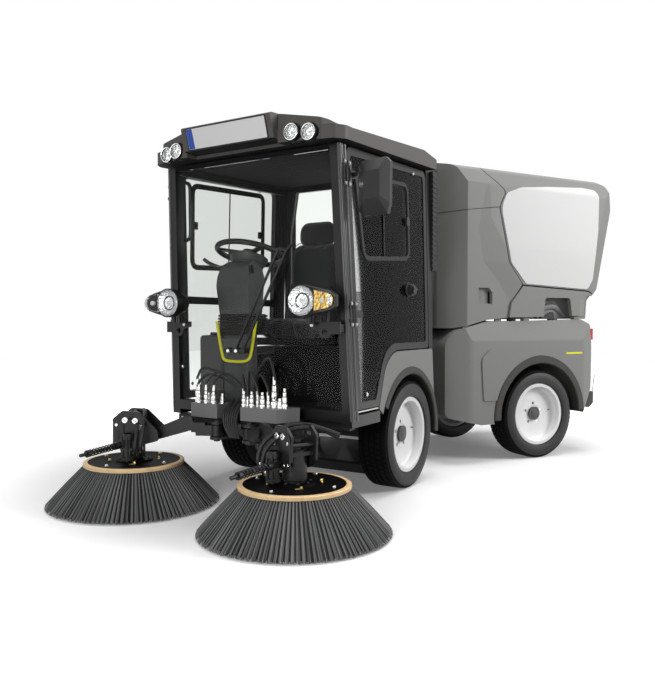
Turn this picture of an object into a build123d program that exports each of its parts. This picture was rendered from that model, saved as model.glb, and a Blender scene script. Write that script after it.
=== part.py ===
"""Compact articulated road sweeper: two modules joined by an upright kingpin, a two-door glass cab, two
disc brushes in front and a tipping waste container behind.  Millimetres, +Z up."""

import os
from math import atan2, cos, degrees, hypot, pi, radians, sin, tan

from build123d import *

# ---------------------------------------------------------------------------------------------------
# Working axes: x = 0 on the centre plane (+x is the machine's left), y = 0 at the front axle, z = 0 at
# the ground.  The machine faces -Y.  The rear module is drawn straight and then turned about its pivot.
# ---------------------------------------------------------------------------------------------------
ORIGIN_X = 188.0            # centre of the whole machine, as it stands, from the front axle's middle
ORIGIN_Y = 506.0
ARTICULATION = -31.5        # turn of the rear module about the kingpin, degrees
PIVOT_Y = 830.0
REAR_AXLE_Y = 1788.0

SEAT = 0.3                  # gap where one piece seats on another
RUNNING = 6.0               # gap between pieces that move past each other
PIN_GAP = 0.3               # radial gap of a pin in its bore

# Wheels
TYRE_RADIUS = 316.0
TYRE_WIDTH = 205.0
TREAD_WIDTH = 176.0
BEAD_RADIUS = 203.0
RIM_WIDTH = 172.0
RIM_FLANGE_RADIUS = 221.0
RIM_THICKNESS = 7.0
DISC_INSET = 58.0
DISC_THICKNESS = 9.0
BOLT_COUNT = 5
BOLT_CIRCLE_RADIUS = 73.0
BOLT_HOLE_RADIUS = 11.0
HUB_CAP_RADIUS = 48.0
HUB_RADIUS = 66.0
HUB_DEPTH = 52.0
SPINDLE_RADIUS = 25.0
FRONT_TRACK_HALF = 508.0
REAR_TRACK_HALF = 495.0
AXLE_TUBE_RADIUS = 45.0
MOTOR_RADIUS = 96.0

# Chassis
RAIL_X = 250.0
RAIL_WIDTH = 60.0
RAIL_LOW = 372.0
RAIL_HIGH = 462.0
FRONT_BEAM_Y = -820.0
FRONT_BEAM_HALF = 430.0
BEAM_DEPTH = 70.0
FORK_PLATE = 24.0
FORK_GAP = 150.0
FORK_LOW = 342.0
PIVOT_HEAD_RADIUS = 62.0
KINGPIN_RADIUS = 28.0
GUIDE_X = 190.0             # upright guides of the suction mouth
GUIDE_Y = 225.0
GUIDE_RADIUS = 11.0
MOUTH_LIFT = 60.0
DUCT_HALF = 150.0
DUCT_WALL = 6.0
SWIVEL_RADIUS = 120.0
TONGUE_HALF = 58.0
REAR_RAIL_X = 235.0
REAR_RAIL_FRONT = 1010.0
REAR_RAIL_END = 2190.0
TOW_Y = 2455.0              # towing jaw behind the bumper
TOW_Z = 400.0
TOW_GAP = 40.0
TOW_PLATE = 16.0
TOW_BORE_RADIUS = 15.0

# Cab
SILL_X = 607.0              # outer face of the cab side at the sill
SILL_Z = 514.0
TOP_X = 571.0               # outer face of the cab side at the top of the windscreen pillar
TOP_Z = 1874.0
PILLAR_FOOT_Y = -716.0
PILLAR_TOP_Y = -790.0
PILLAR_LENGTH = 62.0
PILLAR_DEPTH = 55.0
CAB_REAR_Y = 330.0
REAR_PILLAR_LENGTH = 56.0
FLOOR_Z = 480.0
CAB_WALL = 25.0
DOOR_THICKNESS = 35.0
DOOR_GAP = 8.0
DOOR_FRAME = 38.0
GLASS = 6.0
FENDER_TOP_Z = 812.0
ARCH_OUTER = 400.0
ARCH_INNER = 356.0
LIP_X = 612.0
REAR_WINDOW = (438.0, 1180.0, 1876.0, 24.0)     # half width, low edge, top edge, corner radius
ROOF_HALF = 622.0
ROOF_SKIRT_Z = 1911.0       # lower edge of the roof beside the driver
ROOF_SLOPE = 0.05
VISOR_RISE = 97.0           # top of the visor over that edge
VISOR_TOP_Z = ROOF_SKIRT_Z + VISOR_RISE
VISOR_HALF = 290.0
PLATE_HALF = 264.0          # half width of the number plate's tray
PLATE_HEIGHT = 118.0
HINGE_PIN_RADIUS = 6.0
HINGE_KNUCKLE_RADIUS = 13.0
HINGE_OUT = 15.0            # the hinge axis stands this far out of the cab's side
HINGE_HEIGHTS = (1018.0, 1725.0)
KNUCKLE_LENGTH = 44.0
WORK_LIGHTS = ((380.0, -908.0, 1909.0, 42.0), (468.0, -888.0, 1903.0, 42.0))    # x, y, z, radius
SEAT_X = -190.0
WHEEL_CENTRE = (-190.0, -517.0, 1376.0)     # middle of the steering wheel
WHEEL_TILT = 16.0           # lean of the steering shaft from the vertical, towards the driver
STEER_RADIUS = 190.0
STEER_GRIP = 16.0           # radius of its grip
HEADLAMP = (442.0, -908.0, 1081.0)          # centre of the lens seat
HEADLAMP_LENS = 69.0
WIPER_FOOT_Z = 820.0
WIPER_FEET = (-170.0, -106.0, -55.0)
WIPER_ARMS = (((-106, 820), (208, 1364)), ((-55, 820), (258, 1354)))    # foot and knee, x and z
WIPER_BLADE = ((278, 1175), (284, 1422), (328, 1640))                   # x and z
MANIFOLDS = (
    # corners (x, y), top z, first coupling (x, y), last coupling (x, y), couplings
    (((-292, -910), (-108, -910), (-108, -800), (-292, -800)), 537, (-270, -866), (-126, -866), 4),
    (((44, -905), (270, -899), (332, -762), (44, -762)), 533, (66, -866), (262, -852), 5),
)
COUPLING = ((0, 0), (14, 0), (14, 18), (11, 22), (11, 40), (8, 44), (8, 58), (0, 58))   # radius, height

# Brushes
BRUSH_X = 523.0
BRUSH_Y = -1100.0
BRUSH_RADIUS = 458.0
BRUSH_RING_RADIUS = 265.0
BRUSH_FOOT_Z = 5.0
BRUSH_RING_Z = 200.0
ARM_PIVOT_X = 110.0
ARM_PIVOT_Y = -905.0
ARM_Z = 400.0
ARM_HEIGHT = 56.0
ARM_WIDTH = 52.0
KNUCKLE_PIN = 16.0
SPIN_SHAFT = 20.0
LIFT_PIN_AT = 130.0         # distance of the lift link's pin from the arm's upright pin
LIFT_PIN_RISE = 24.0        # height of that pin over the middle of the arm
LINK_LENGTH = 200.0
LINK_DROP = 15.0            # slope of the lowered link, degrees
LINK_WIDTH = 26.0
LINK_BOSS = 23.0
LINK_PIN = 9.0
LINK_CREST = 58.0           # the link's top edge over its pins, at the inner end
HEAD_PLATE_AT = 60.0        # inner face of the head's side plates from the arm's middle
HEAD_PLATE = 12.0
SPRING_ROD = 9.0
TUFT_COUNT = 48             # bundles of bristles round a brush
TUFT_DEPTH = 12.0

# Rear body
BODY_HALF = 600.0
BODY_WALL = 22.0
BODY_FRONT_Y = 955.0
BODY_FRONT_HALF = 470.0
BODY_FOOT_Z = 270.0
DECK_Z = 992.0
UPPER_RISE = 1093.0         # height of the hood and the container over the deck
BODY_TOP_Z = DECK_Z + UPPER_RISE
SHOULDER_DROP = 155.0       # the upper sides turn in to the roof this far below its top
SHOULDER_Z = BODY_TOP_Z - SHOULDER_DROP
HOOD_ROOF = 55.0            # depth of the hood's roof, with its stiffening
CONTAINER_ROOF = 85.0       # depth of the container's ribbed roof
BAND_RISE = 16.0            # the raised band round the side panel stands this far out of the hood
CORNER_CUT = (58.0, 150.0)  # rear corners of the upper body, across and along
TUB_HALF = BODY_HALF - 80
TUB_FRONT_Y = 1572.0
TUB_FLOOR_Z = 1006.0
REAR_ARCH_OUTER = 425.0
REAR_ARCH_INNER = 368.0
TILT_PIN_Y = 2250.0
TILT_PIN_Z = 974.0
TILT_PIN_RADIUS = 14.0
TILT_EYE_RADIUS = 24.0
TILT_POST_X = (222.0, 252.0)
TILT_EYE_WIDTH = 16.0
CONTAINER_GAP = 9.0
OVERHANG_RADIUS = 243.0     # the container's overhang is round about the tilt pin behind it
GATE_HALF = 440.0
GATE_LOW = 1060.0
GATE_HIGH = 1834.0
GATE_THICKNESS = 30.0
GATE_HINGE_X = 250.0
GATE_PIN_RADIUS = 7.0
GATE_KNUCKLE_RADIUS = 13.0
BUMPER_HALF = 560.0
BEYOND = 800.0              # reach of the cutting shapes past the machine's sides
FAR_BACK = 2900.0           # reach of the cutting shapes past its rear end
FAR_UP = 2600.0             # and past its top

# Outlines of the rear module seen from the side: rows of y, z and corner radius where there is one
DECK_LINE = [(1060, 925), (1300, 982), (1776, DECK_Z), (2200, DECK_Z + 11)]     # top of the lower body
BUMPER = [(2265, 345, 10), (2310, 333, 10), (2375, 377, 20), (2405, 453, 8), (2321, 453, 8)]
ARCH_PAD = [(1266, 435, 20), (1246, 730, 70), (1318, 790, 60), (1640, 800, 20), (1788, 720, 0),
            (1600, 435, 0)]
# front edge of the container: it never nears the tipping hinge going up
SEAM = [(1618, 1245, 12), (1494, 1396, 60), (1408, 1781, 110), (1470, 1888, 30), (1316, 2013, 0),
        (953, 2400, 0)]
SKIRT_SEAM = [(1512, 1113), (1494, 1012)]           # front edge of the skirt below it
BACK_FACE = [(2541, 1842, 80), (2400, 1232, 30), (2320, 1146, 20), (2308, TUB_FLOOR_Z, 10)]
# the hood's raised band: where it leaves the hood's side, and where it reaches full height
BAND_FOOT = [(1503, 2400), (1281, 1865), (1229, 1623), (1274, 1396), (1418, 1246), (1500, 1130),
             (FAR_BACK, 1130), (FAR_BACK, 2400)]
BAND_CREST = [(1618, 2400), (1470, 1888), (1408, 1781), (1494, 1396), (1600, 1262), (1640, 1250),
              (FAR_BACK, 1250), (FAR_BACK, 2400)]
GRIP = [(1232, 1112, 6), (1232, 1216, 6), (1323, 1216, 6), (1351, 1184, 6), (1351, 1104, 6)]    # hand grip


# ---------------------------------------------------------------------------------------------------
# Drawing helpers
# ---------------------------------------------------------------------------------------------------
def face_of(rows, plane):
    """Closed outline from rows of (u, v, corner radius) on a plane."""
    corners = [(u, v) for u, v, r in rows]
    radii = [r for u, v, r in rows]
    return make_face(plane * FilletPolyline(*corners, radius=radii, close=True))


def raised(rows, plane, height):
    """Outline raised along its plane's normal."""
    return extrude(face_of(rows, plane), height, dir=plane.z_dir)


def side_prism(rows, x_low, x_high):
    """Rows of (y, z, radius) seen from the side, swept across the machine."""
    return raised(rows, Plane.YZ.offset(x_low), x_high - x_low)


def plan_prism(rows, z_low, z_high):
    """Rows of (x, y, radius) seen from above, swept upwards."""
    return raised(rows, Plane.XY.offset(z_low), z_high - z_low)


def front_prism(rows, y_low, y_high):
    """Rows of (x, z, radius) seen from the front, swept along the machine."""
    plane = Plane(origin=(0, y_high, 0), x_dir=(1, 0, 0), z_dir=(0, -1, 0))
    return raised(rows, plane, y_high - y_low)


def block(x, y, z):
    """Box between (low, high) pairs."""
    middle = [(low + high) / 2 for low, high in (x, y, z)]
    return Pos(*middle) * Box(x[1] - x[0], y[1] - y[0], z[1] - z[0])


def rod(start, end, radius):
    """Round bar between two points."""
    line = Vector(*end) - Vector(*start)
    plane = Plane(origin=start, z_dir=line)
    return extrude(plane * Circle(radius), line.length)


def across(x_low, x_high, y, z, radius):
    """Cylinder along X."""
    return rod((x_low, y, z), (x_high, y, z), radius)


def upright(x, y, z_low, z_high, radius):
    """Cylinder along Z."""
    return rod((x, y, z_low), (x, y, z_high), radius)


def other_side(shape):
    return mirror(shape, about=Plane.YZ)


def pair(shape):
    return [shape, other_side(shape)]


def symmetric(rows):
    """Rows of (x, other, radius) on the left half, completed by their mirror image."""
    return rows + [(-a, b, r) for a, b, r in reversed(rows) if a != 0]


# ---------------------------------------------------------------------------------------------------
# Cab side plane: leans inward towards the top
# ---------------------------------------------------------------------------------------------------
SIDE_LEAN = atan2(SILL_X - TOP_X, TOP_Z - SILL_Z)
PLATE_LEAN = radians(17.4)  # the number plate's lower edge lies this far back
PILLAR_LEAN = (PILLAR_TOP_Y - PILLAR_FOOT_Y) / (TOP_Z - SILL_Z)
SCREEN_LEAN = atan2(PILLAR_FOOT_Y - PILLAR_TOP_Y, TOP_Z - SILL_Z)


def side_slab(rows, depth, thickness):
    """Slab in the left side plane from rows of (y, z, radius); depth is inward from the outer face."""
    normal = (cos(SIDE_LEAN), 0, sin(SIDE_LEAN))
    plane = Plane(origin=(SILL_X, 0, SILL_Z), x_dir=(0, 1, 0), z_dir=normal).offset(-depth - thickness)
    local = [(y, (z - SILL_Z) / cos(SIDE_LEAN), r) for y, z, r in rows]
    return raised(local, plane, thickness)


def side_x(z, depth=0):
    """x of the left side plane at a height."""
    return SILL_X - (z - SILL_Z) * tan(SIDE_LEAN) - depth


def pillar_y(z):
    """y of the windscreen pillar's front edge at a height."""
    return PILLAR_FOOT_Y + (z - SILL_Z) * PILLAR_LEAN


def skirt_z(y):
    """Height of the roof's lower edge."""
    return ROOF_SKIRT_Z + ROOF_SLOPE * y


def screen_slab(rows, depth, thickness):
    """Slab in the windscreen's plane from rows of (x, z, radius); depth is backward from its face."""
    normal = (0, -cos(SCREEN_LEAN), -sin(SCREEN_LEAN))
    plane = Plane(origin=(0, PILLAR_FOOT_Y, SILL_Z), x_dir=(1, 0, 0),
                  z_dir=normal).offset(-depth - thickness)
    local = [(x, (z - SILL_Z) / cos(SCREEN_LEAN), r) for x, z, r in rows]
    return raised(local, plane, thickness)


# ---------------------------------------------------------------------------------------------------
# Wheels
# ---------------------------------------------------------------------------------------------------
def wheel_revolve(rows):
    """Ring about the X axis from rows of (x, radius, corner radius)."""
    return revolve(face_of(rows, Plane.XZ), Axis.X)


def tyre():
    half = TYRE_WIDTH / 2
    tread = TREAD_WIDTH / 2
    bead = RIM_WIDTH / 2 - RIM_THICKNESS - SEAT
    belly = (TYRE_RADIUS + BEAD_RADIUS) / 2
    rows = [(bead, BEAD_RADIUS, 3), (bead, RIM_FLANGE_RADIUS + 1, 2), (half - 5, RIM_FLANGE_RADIUS + 8, 10),
            (half, belly, 30), (tread, TYRE_RADIUS, 26)]
    return wheel_revolve(rows + [(-x, v, r) for x, v, r in reversed(rows)])


def rim():
    flange = RIM_WIDTH / 2
    seat = BEAD_RADIUS - SEAT
    drop = seat - 20
    disc = flange - DISC_INSET
    well = disc - 54
    t = RIM_THICKNESS
    rows = [(flange, RIM_FLANGE_RADIUS, 2), (flange - t, RIM_FLANGE_RADIUS, 2), (flange - t, seat, 3),
            (disc + t, seat, 3), (disc, drop, 3), (well, drop, 3), (well - 12, seat, 3),
            (t - flange, seat, 3), (t - flange, RIM_FLANGE_RADIUS, 2), (-flange, RIM_FLANGE_RADIUS, 2),
            (-flange, seat - t, 3), (well - 12 - t, seat - t, 3), (well - t / 2, drop - t, 3),
            (disc - t / 2, drop - t, 3), (disc + t, seat - t, 3), (flange, seat - t, 3)]
    barrel = wheel_revolve(rows)
    plate = across(disc - DISC_THICKNESS, disc, 0, 0, drop - 2)
    hub = across(disc - DISC_THICKNESS - HUB_DEPTH, disc, 0, 0, HUB_RADIUS)
    cap = across(disc, disc + 16, 0, 0, HUB_CAP_RADIUS)
    solid = barrel + plate + hub + cap
    for i in range(BOLT_COUNT):
        turn = radians(90 + 360 / BOLT_COUNT * i)
        y = BOLT_CIRCLE_RADIUS * cos(turn)
        z = BOLT_CIRCLE_RADIUS * sin(turn)
        solid -= across(disc - DISC_THICKNESS - HUB_DEPTH - 1, disc + 1, y, z, BOLT_HOLE_RADIUS)
    bore = across(disc - DISC_THICKNESS - HUB_DEPTH - 1, disc - DISC_THICKNESS, 0, 0,
                  SPINDLE_RADIUS + PIN_GAP)
    return solid - bore


def axle(track_half, saddle_x, saddle_top):
    """Beam, wheel-motor housings, spindles and two saddles that seat on the chassis rails."""
    disc = RIM_WIDTH / 2 - DISC_INSET
    hub_end = track_half + disc - DISC_THICKNESS - HUB_DEPTH
    spindle_end = track_half + disc - DISC_THICKNESS - 4
    beam = across(-hub_end + 20, hub_end - 20, 0, TYRE_RADIUS, AXLE_TUBE_RADIUS)
    for side in (-1, 1):
        inner = side * (hub_end - RUNNING - 120)
        outer = side * (hub_end - RUNNING)
        beam += across(min(inner, outer), max(inner, outer), 0, TYRE_RADIUS, MOTOR_RADIUS)
        tip = side * spindle_end
        beam += across(min(0, tip), max(0, tip), 0, TYRE_RADIUS, SPINDLE_RADIUS)
        x = side * saddle_x
        beam += block((x - 30, x + 30), (-60, 60), (TYRE_RADIUS, saddle_top - SEAT))
    return beam


# ---------------------------------------------------------------------------------------------------
# Front chassis
# ---------------------------------------------------------------------------------------------------
def box_rail(x, y, z, wall=6):
    """Square-section tube along Y."""
    outer = block(x, y, z)
    inner = block((x[0] + wall, x[1] - wall), (y[0] - 1, y[1] + 1), (z[0] + wall, z[1] - wall))
    return outer - inner


def front_chassis():
    rail = (RAIL_X - RAIL_WIDTH / 2, RAIL_X + RAIL_WIDTH / 2)
    frame = block((-FRONT_BEAM_HALF, FRONT_BEAM_HALF), (FRONT_BEAM_Y - BEAM_DEPTH / 2,
                                                        FRONT_BEAM_Y + BEAM_DEPTH / 2),
                  (RAIL_LOW, RAIL_HIGH))
    for y in (-420, 200, 600):
        frame += block((-RAIL_X, RAIL_X), (y, y + 50), (RAIL_LOW + 15, RAIL_HIGH - 15))
    for piece in pair(box_rail(rail, (FRONT_BEAM_Y + BEAM_DEPTH / 2, 650), (RAIL_LOW, RAIL_HIGH))):
        frame += piece
    for x in (-GUIDE_X, GUIDE_X):
        frame += upright(x, GUIDE_Y, 150, RAIL_LOW + 30, GUIDE_RADIUS)
    # outriggers that carry the cab sills and fenders
    for y in (-600, 430):
        for piece in pair(block((RAIL_X, 545), (y - 25, y + 25), (RAIL_HIGH - 50, RAIL_HIGH))):
            frame += piece
    frame += block((-100, 100), (560 + SEAT, 610), (RAIL_LOW + 25, RAIL_HIGH - 25))
    # pivot fork
    low = FORK_LOW
    high = FORK_LOW + FORK_PLATE + FORK_GAP
    head = PIVOT_HEAD_RADIUS
    for z in (low, high):
        ear = plan_prism([(-150, 600, 0), (150, 600, 0), (head, PIVOT_Y, 0), (-head, PIVOT_Y, 0)], z,
                         z + FORK_PLATE)
        frame += ear + upright(0, PIVOT_Y, z, z + FORK_PLATE, head)
    for x in (-120, 108):
        frame += block((x, x + 12), (600, 690), (low, high + FORK_PLATE))
    frame += upright(0, PIVOT_Y, low, high + FORK_PLATE + 14, KINGPIN_RADIUS)
    # clevis plates of the brush arms
    for side in (-1, 1):
        x = side * ARM_PIVOT_X
        for z in (ARM_Z - ARM_HEIGHT / 2 - RUNNING - 14, ARM_Z + ARM_HEIGHT / 2 + RUNNING):
            plate = block((x - 38, x + 38), (ARM_PIVOT_Y, FRONT_BEAM_Y), (z, z + 14))
            frame += plate + upright(x, ARM_PIVOT_Y, z, z + 14, 38)
        frame += upright(x, ARM_PIVOT_Y, ARM_Z - ARM_HEIGHT / 2 - 30, ARM_Z + ARM_HEIGHT / 2 + 26,
                         KNUCKLE_PIN)
    return frame


# ---------------------------------------------------------------------------------------------------
# Cab
# ---------------------------------------------------------------------------------------------------


def hinge_point(z):
    """Point of the left door's leaning hinge axis at a height."""
    return Vector(side_x(z, -HINGE_OUT), pillar_y(z) + PILLAR_LENGTH - 10, z)


HINGE_AXIS = (hinge_point(TOP_Z) - hinge_point(SILL_Z)).normalized()


def along_hinge(z, low, high, radius):
    """Cylinder on the hinge axis from low to high, measured from the axis point at height z."""
    start = hinge_point(z) + HINGE_AXIS * low
    return extrude(Plane(origin=start, z_dir=HINGE_AXIS) * Circle(radius), high - low)


def hinge_pillar_half(z):
    """Pin with its two lugs, welded to the pillar."""
    half = KNUCKLE_LENGTH / 2
    part = along_hinge(z, -half - 24, half + 24, HINGE_PIN_RADIUS)
    for low, high in ((-half - 22, -half - 1), (half + 1, half + 22)):
        part += along_hinge(z, low, high, HINGE_KNUCKLE_RADIUS)
    y = pillar_y(z) + PILLAR_LENGTH
    for low, high in ((-half - 20, -half - 4), (half + 4, half + 20)):
        arm_z = z + (low + high) / 2
        part += block((side_x(arm_z, 6), side_x(arm_z, -HINGE_OUT)), (y - 52, y - 12), (z + low, z + high))
    return part


def hinge_door_half(z):
    """Knuckle and leaf of the door."""
    half = KNUCKLE_LENGTH / 2
    part = along_hinge(z, -half, half, HINGE_KNUCKLE_RADIUS)
    y = pillar_y(z) + PILLAR_LENGTH
    part += block((side_x(z, -2), side_x(z, -10)), (y - 6, y + 84), (z - half + 3, z + half - 3))
    part += block((side_x(z, 6), side_x(z, -10)), (y + DOOR_GAP + 4, y + DOOR_GAP + DOOR_FRAME - 4),
                  (z - half + 3, z + half - 3))
    return part - along_hinge(z, -half - 5, half + 5, HINGE_PIN_RADIUS + PIN_GAP)


def cab_frame():
    pillar = [(pillar_y(440), 440, 6), (pillar_y(440) + PILLAR_LENGTH, 440, 6),
              (pillar_y(1862) + PILLAR_LENGTH, 1862, 6), (pillar_y(1862), 1862, 6)]
    post = side_slab(pillar, 0, PILLAR_DEPTH)
    for share in (0.3, 0.55, 0.8):
        groove = [(pillar_y(470) + PILLAR_LENGTH * share - 3, 470, 0),
                  (pillar_y(470) + PILLAR_LENGTH * share + 3, 470, 0),
                  (pillar_y(1850) + PILLAR_LENGTH * share + 3, 1850, 0),
                  (pillar_y(1850) + PILLAR_LENGTH * share - 3, 1850, 0)]
        post -= side_slab(groove, -1, 6)
    for z in HINGE_HEIGHTS:
        post += hinge_pillar_half(z)
    back = CAB_REAR_Y
    rear = side_slab([(back - REAR_PILLAR_LENGTH, FENDER_TOP_Z + SEAT, 4), (back, FENDER_TOP_Z + SEAT, 4),
                      (back, skirt_z(back) - 2 * SEAT, 4),
                      (back - REAR_PILLAR_LENGTH, skirt_z(back - REAR_PILLAR_LENGTH) - 2 * SEAT, 4)], 0,
                     PILLAR_DEPTH)
    inboard = DOOR_THICKNESS + RUNNING
    rail = side_slab([(pillar_y(1830) + 30, skirt_z(-750) - 50, 0), (back - 30, skirt_z(back) - 60, 0),
                      (back - 30, skirt_z(back) - 10, 0), (pillar_y(1830) + 30, skirt_z(-750) - 10, 0)],
                     inboard, 40)
    sill = side_slab([(PILLAR_FOOT_Y + 10, 440, 0), (-405, 440, 0), (-405, 500, 0),
                      (PILLAR_FOOT_Y + 10, 500, 0)], 0, PILLAR_DEPTH)
    side = post + rear + rail + sill
    frame = side + other_side(side)
    foot = RAIL_HIGH + SEAT + 4
    frame += screen_slab([(-590, foot, 0), (590, foot, 0), (588, 522, 0), (-588, 522, 0)], 0, 46)
    frame += block((RAIL_X - 25, RAIL_X + 25), (PILLAR_FOOT_Y, PILLAR_FOOT_Y + 40),
                   (RAIL_HIGH + SEAT, foot + 20))
    frame += block((-RAIL_X - 25, -RAIL_X + 25), (PILLAR_FOOT_Y, PILLAR_FOOT_Y + 40),
                   (RAIL_HIGH + SEAT, foot + 20))
    frame += screen_slab([(-560, 1838, 0), (560, 1838, 0), (560, 1862, 0), (-560, 1862, 0)], 0, 46)
    return frame


def rear_window(i):
    """Outline of the window in the rear wall, drawn in by an inset."""
    half, low, high, radius = REAR_WINDOW
    return symmetric([(half - i, low + i, radius), (half - i, high - i, radius)])


def cab_tub():
    """Floor, wheel boxes, rear wall with its window and the seat console."""
    floor_half = FRONT_TRACK_HALF - TYRE_WIDTH / 2 - 24
    front_half = SILL_X - PILLAR_DEPTH - 6
    floor = block((-front_half, front_half), (-650, -405), (FLOOR_Z - 16, FLOOR_Z))
    floor += block((-floor_half, floor_half), (-405, CAB_REAR_Y), (FLOOR_Z - 16, FLOOR_Z))
    wall_top = skirt_z(CAB_REAR_Y - CAB_WALL) - SEAT
    half = side_x(wall_top, PILLAR_DEPTH + SEAT)
    wall = front_prism(symmetric([(floor_half, FLOOR_Z - 16, 0), (floor_half, FENDER_TOP_Z - 40, 0),
                                  (half, FENDER_TOP_Z - 40, 0), (half, wall_top, 0)]),
                       CAB_REAR_Y - CAB_WALL, CAB_REAR_Y)
    window = front_prism(rear_window(0), CAB_REAR_Y - CAB_WALL - 1, CAB_REAR_Y + 1)
    tub = floor + wall - window
    for side in (-1, 1):
        inner = side * floor_half
        outer = side * (SILL_X - PILLAR_DEPTH - 6)
        low_x, high_x = min(inner, outer), max(inner, outer)
        deck = block((low_x, high_x), (-330, CAB_REAR_Y), (FENDER_TOP_Z - 58, FENDER_TOP_Z - 40))
        plate_x = side * (floor_half - 8)
        low_p, high_p = min(inner, plate_x), max(inner, plate_x)
        cheek = block((low_p, high_p), (-405, CAB_REAR_Y), (FLOOR_Z - 16, FENDER_TOP_Z - 40))
        front = block((low_x, high_x), (-408, -400), (FLOOR_Z - 16, 640))
        ramp = side_prism([(-408, 632, 0), (-330, 754, 0), (-330, 772, 0), (-408, 650, 0)], low_x, high_x)
        tub += deck + cheek + front + ramp
    tub += side_prism([(-60, FLOOR_Z - 8, 0), (-40, 820, 20), (290, 820, 20), (290, FLOOR_Z - 8, 0)],
                      -floor_half + 20, floor_half - 20)
    return tub


def cab_glass():
    low, high = 522 + SEAT, 1838 - SEAT
    rows = [(-side_x(low, PILLAR_DEPTH + 2), low, 10), (side_x(low, PILLAR_DEPTH + 2), low, 10),
            (side_x(high, PILLAR_DEPTH + 2), high, 10), (-side_x(high, PILLAR_DEPTH + 2), high, 10)]
    screen = screen_slab(rows, 12, GLASS)
    back = front_prism(rear_window(SEAT), CAB_REAR_Y - CAB_WALL / 2 - GLASS / 2, CAB_REAR_Y - CAB_WALL / 2 + GLASS / 2)
    return [screen, back]


def cab_roof():
    """Moulded cap: skirted slab, raised centre with a forward visor, and lamp pockets."""
    low = skirt_z(-862)
    rows = [(-940, skirt_z(-940), 8), (-930, 1936, 12), (-740, 1938, 200), (131, 2010, 60),
            (349, 1986, 12), (318, skirt_z(318), 8)]
    plan = symmetric([(330, -925, 40), (585, -862, 30), (ROOF_HALF, -800, 40), (ROOF_HALF, 349, 30)])
    slab = side_prism(rows, -ROOF_HALF, ROOF_HALF) & plan_prism(plan, 1700, 2200)
    rows = [(-948, 1888, 6), (-986, VISOR_TOP_Z, 14), (-860, VISOR_TOP_Z + 8, 60),
            (150, VISOR_TOP_Z + 4, 120), (330, 1984, 10), (318, 1930, 6), (-900, low, 6)]
    visor = side_prism(rows, -ROOF_HALF, ROOF_HALF)
    visor &= plan_prism(symmetric([(VISOR_HALF, -1000, 0), (VISOR_HALF + 8, -915, 6), (520, -885, 30), (560, -800, 40),
                                   (540, 300, 80), (500, 340, 30)]), 1700, 2200)
    visor &= front_prism(symmetric([(620, 1850, 0), (590, 1930, 30), (545, 1968, 30), (300, VISOR_TOP_Z + 4, 200)]),
                         -1000, 400)
    roof = slab + visor - block((-VISOR_HALF - 10, VISOR_HALF + 10), (-960, -850), (1800, 1886))
    # pockets of the work lights, and the tray of the number plate
    for x, y, z, radius in WORK_LIGHTS:
        for side in (-1, 1):
            roof -= rod((side * x, y - 60, z), (side * x, y + 30, z), radius + 6)
    tray = Plane(origin=(0, -962, 1945), x_dir=(1, 0, 0), z_dir=(0, -cos(PLATE_LEAN), -sin(PLATE_LEAN)))
    roof -= extrude(tray * Rectangle(2 * PLATE_HALF, PLATE_HEIGHT), 40, dir=tray.z_dir)
    return roof


def work_lights():
    lamps = []
    for x, y, z, radius in WORK_LIGHTS:
        profile = [(0, y + 30 - SEAT, 0), (radius - 8, y + 30 - SEAT, 0), (radius, y - 14, 4),
                   (radius - 4, y - 22, 4), (0, y - 26, 0)]
        lamp = Pos(x, 0, z) * revolve(face_of(profile, Plane.XY), Axis.Y)
        lamps += pair(lamp)
    return lamps


def fenders():
    """Moulded quarter between door, wheel arch and rear pillar."""
    outer = [(-410, 512, 4), (-300, FENDER_TOP_Z, 215), (CAB_REAR_Y - 4, FENDER_TOP_Z, 20),
             (CAB_REAR_Y + 4, 560, 60), (396, 300, 4), (300, 300, 0), (0, 400, 0), (-300, 420, 0)]
    panel = side_slab(outer, 0, 34)
    panel -= across(400, 700, 0, TYRE_RADIUS, ARCH_OUTER + SEAT)
    return pair(panel)


def arch_lining(axle_y, lip_x, inner_x, start, end, outer, inner):
    """Rubber lip and inner lining as one bent section round the wheel, from start to end degrees."""
    rows = [(inner_x, inner + 10), (inner_x, inner + 22), (lip_x - 30, inner + 22), (lip_x - 30, outer),
            (lip_x - 8, outer), (lip_x, outer - 8), (lip_x, inner + 6), (lip_x - 6, inner),
            (lip_x - 34, inner), (lip_x - 40, inner + 10)]
    face = face_of([(x, r, 0) for x, r in rows], Plane.XZ)
    face = face.rotate(Axis.X, start)
    ring = revolve(face, Axis.X, end - start)
    return Pos(0, axle_y, TYRE_RADIUS) * ring


def front_arch_linings():
    inner_x = FRONT_TRACK_HALF - TYRE_WIDTH / 2 - 14
    return pair(arch_lining(0, LIP_X, inner_x, -94, 60, ARCH_OUTER, ARCH_INNER))


def seat():
    x = SEAT_X
    cushion = side_prism([(-250, 905, 30), (-240, 985, 40), (160, 950, 30), (200, 870, 20),
                          (-230, 870, 20)], x - 235, x + 235)
    base = side_prism([(-200, 820 + SEAT, 10), (-215, 880, 10), (180, 880, 10), (170, 820 + SEAT, 10)],
                      x - 180, x + 180)
    back = side_prism([(110, 930, 20), (205, 900, 30), (285, 1440, 40), (240, 1500, 40), (170, 1440, 40)],
                      x - 225, x + 225)
    head = side_prism([(196, 1520, 20), (206, 1630, 30), (262, 1640, 30), (272, 1530, 20)], x - 130,
                      x + 130)
    stays = rod((x - 60, 240, 1470), (x - 60, 240, 1560), 7) + rod((x + 60, 240, 1470),
                                                                   (x + 60, 240, 1560), 7)
    return cushion + base + back + head + stays


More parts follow.
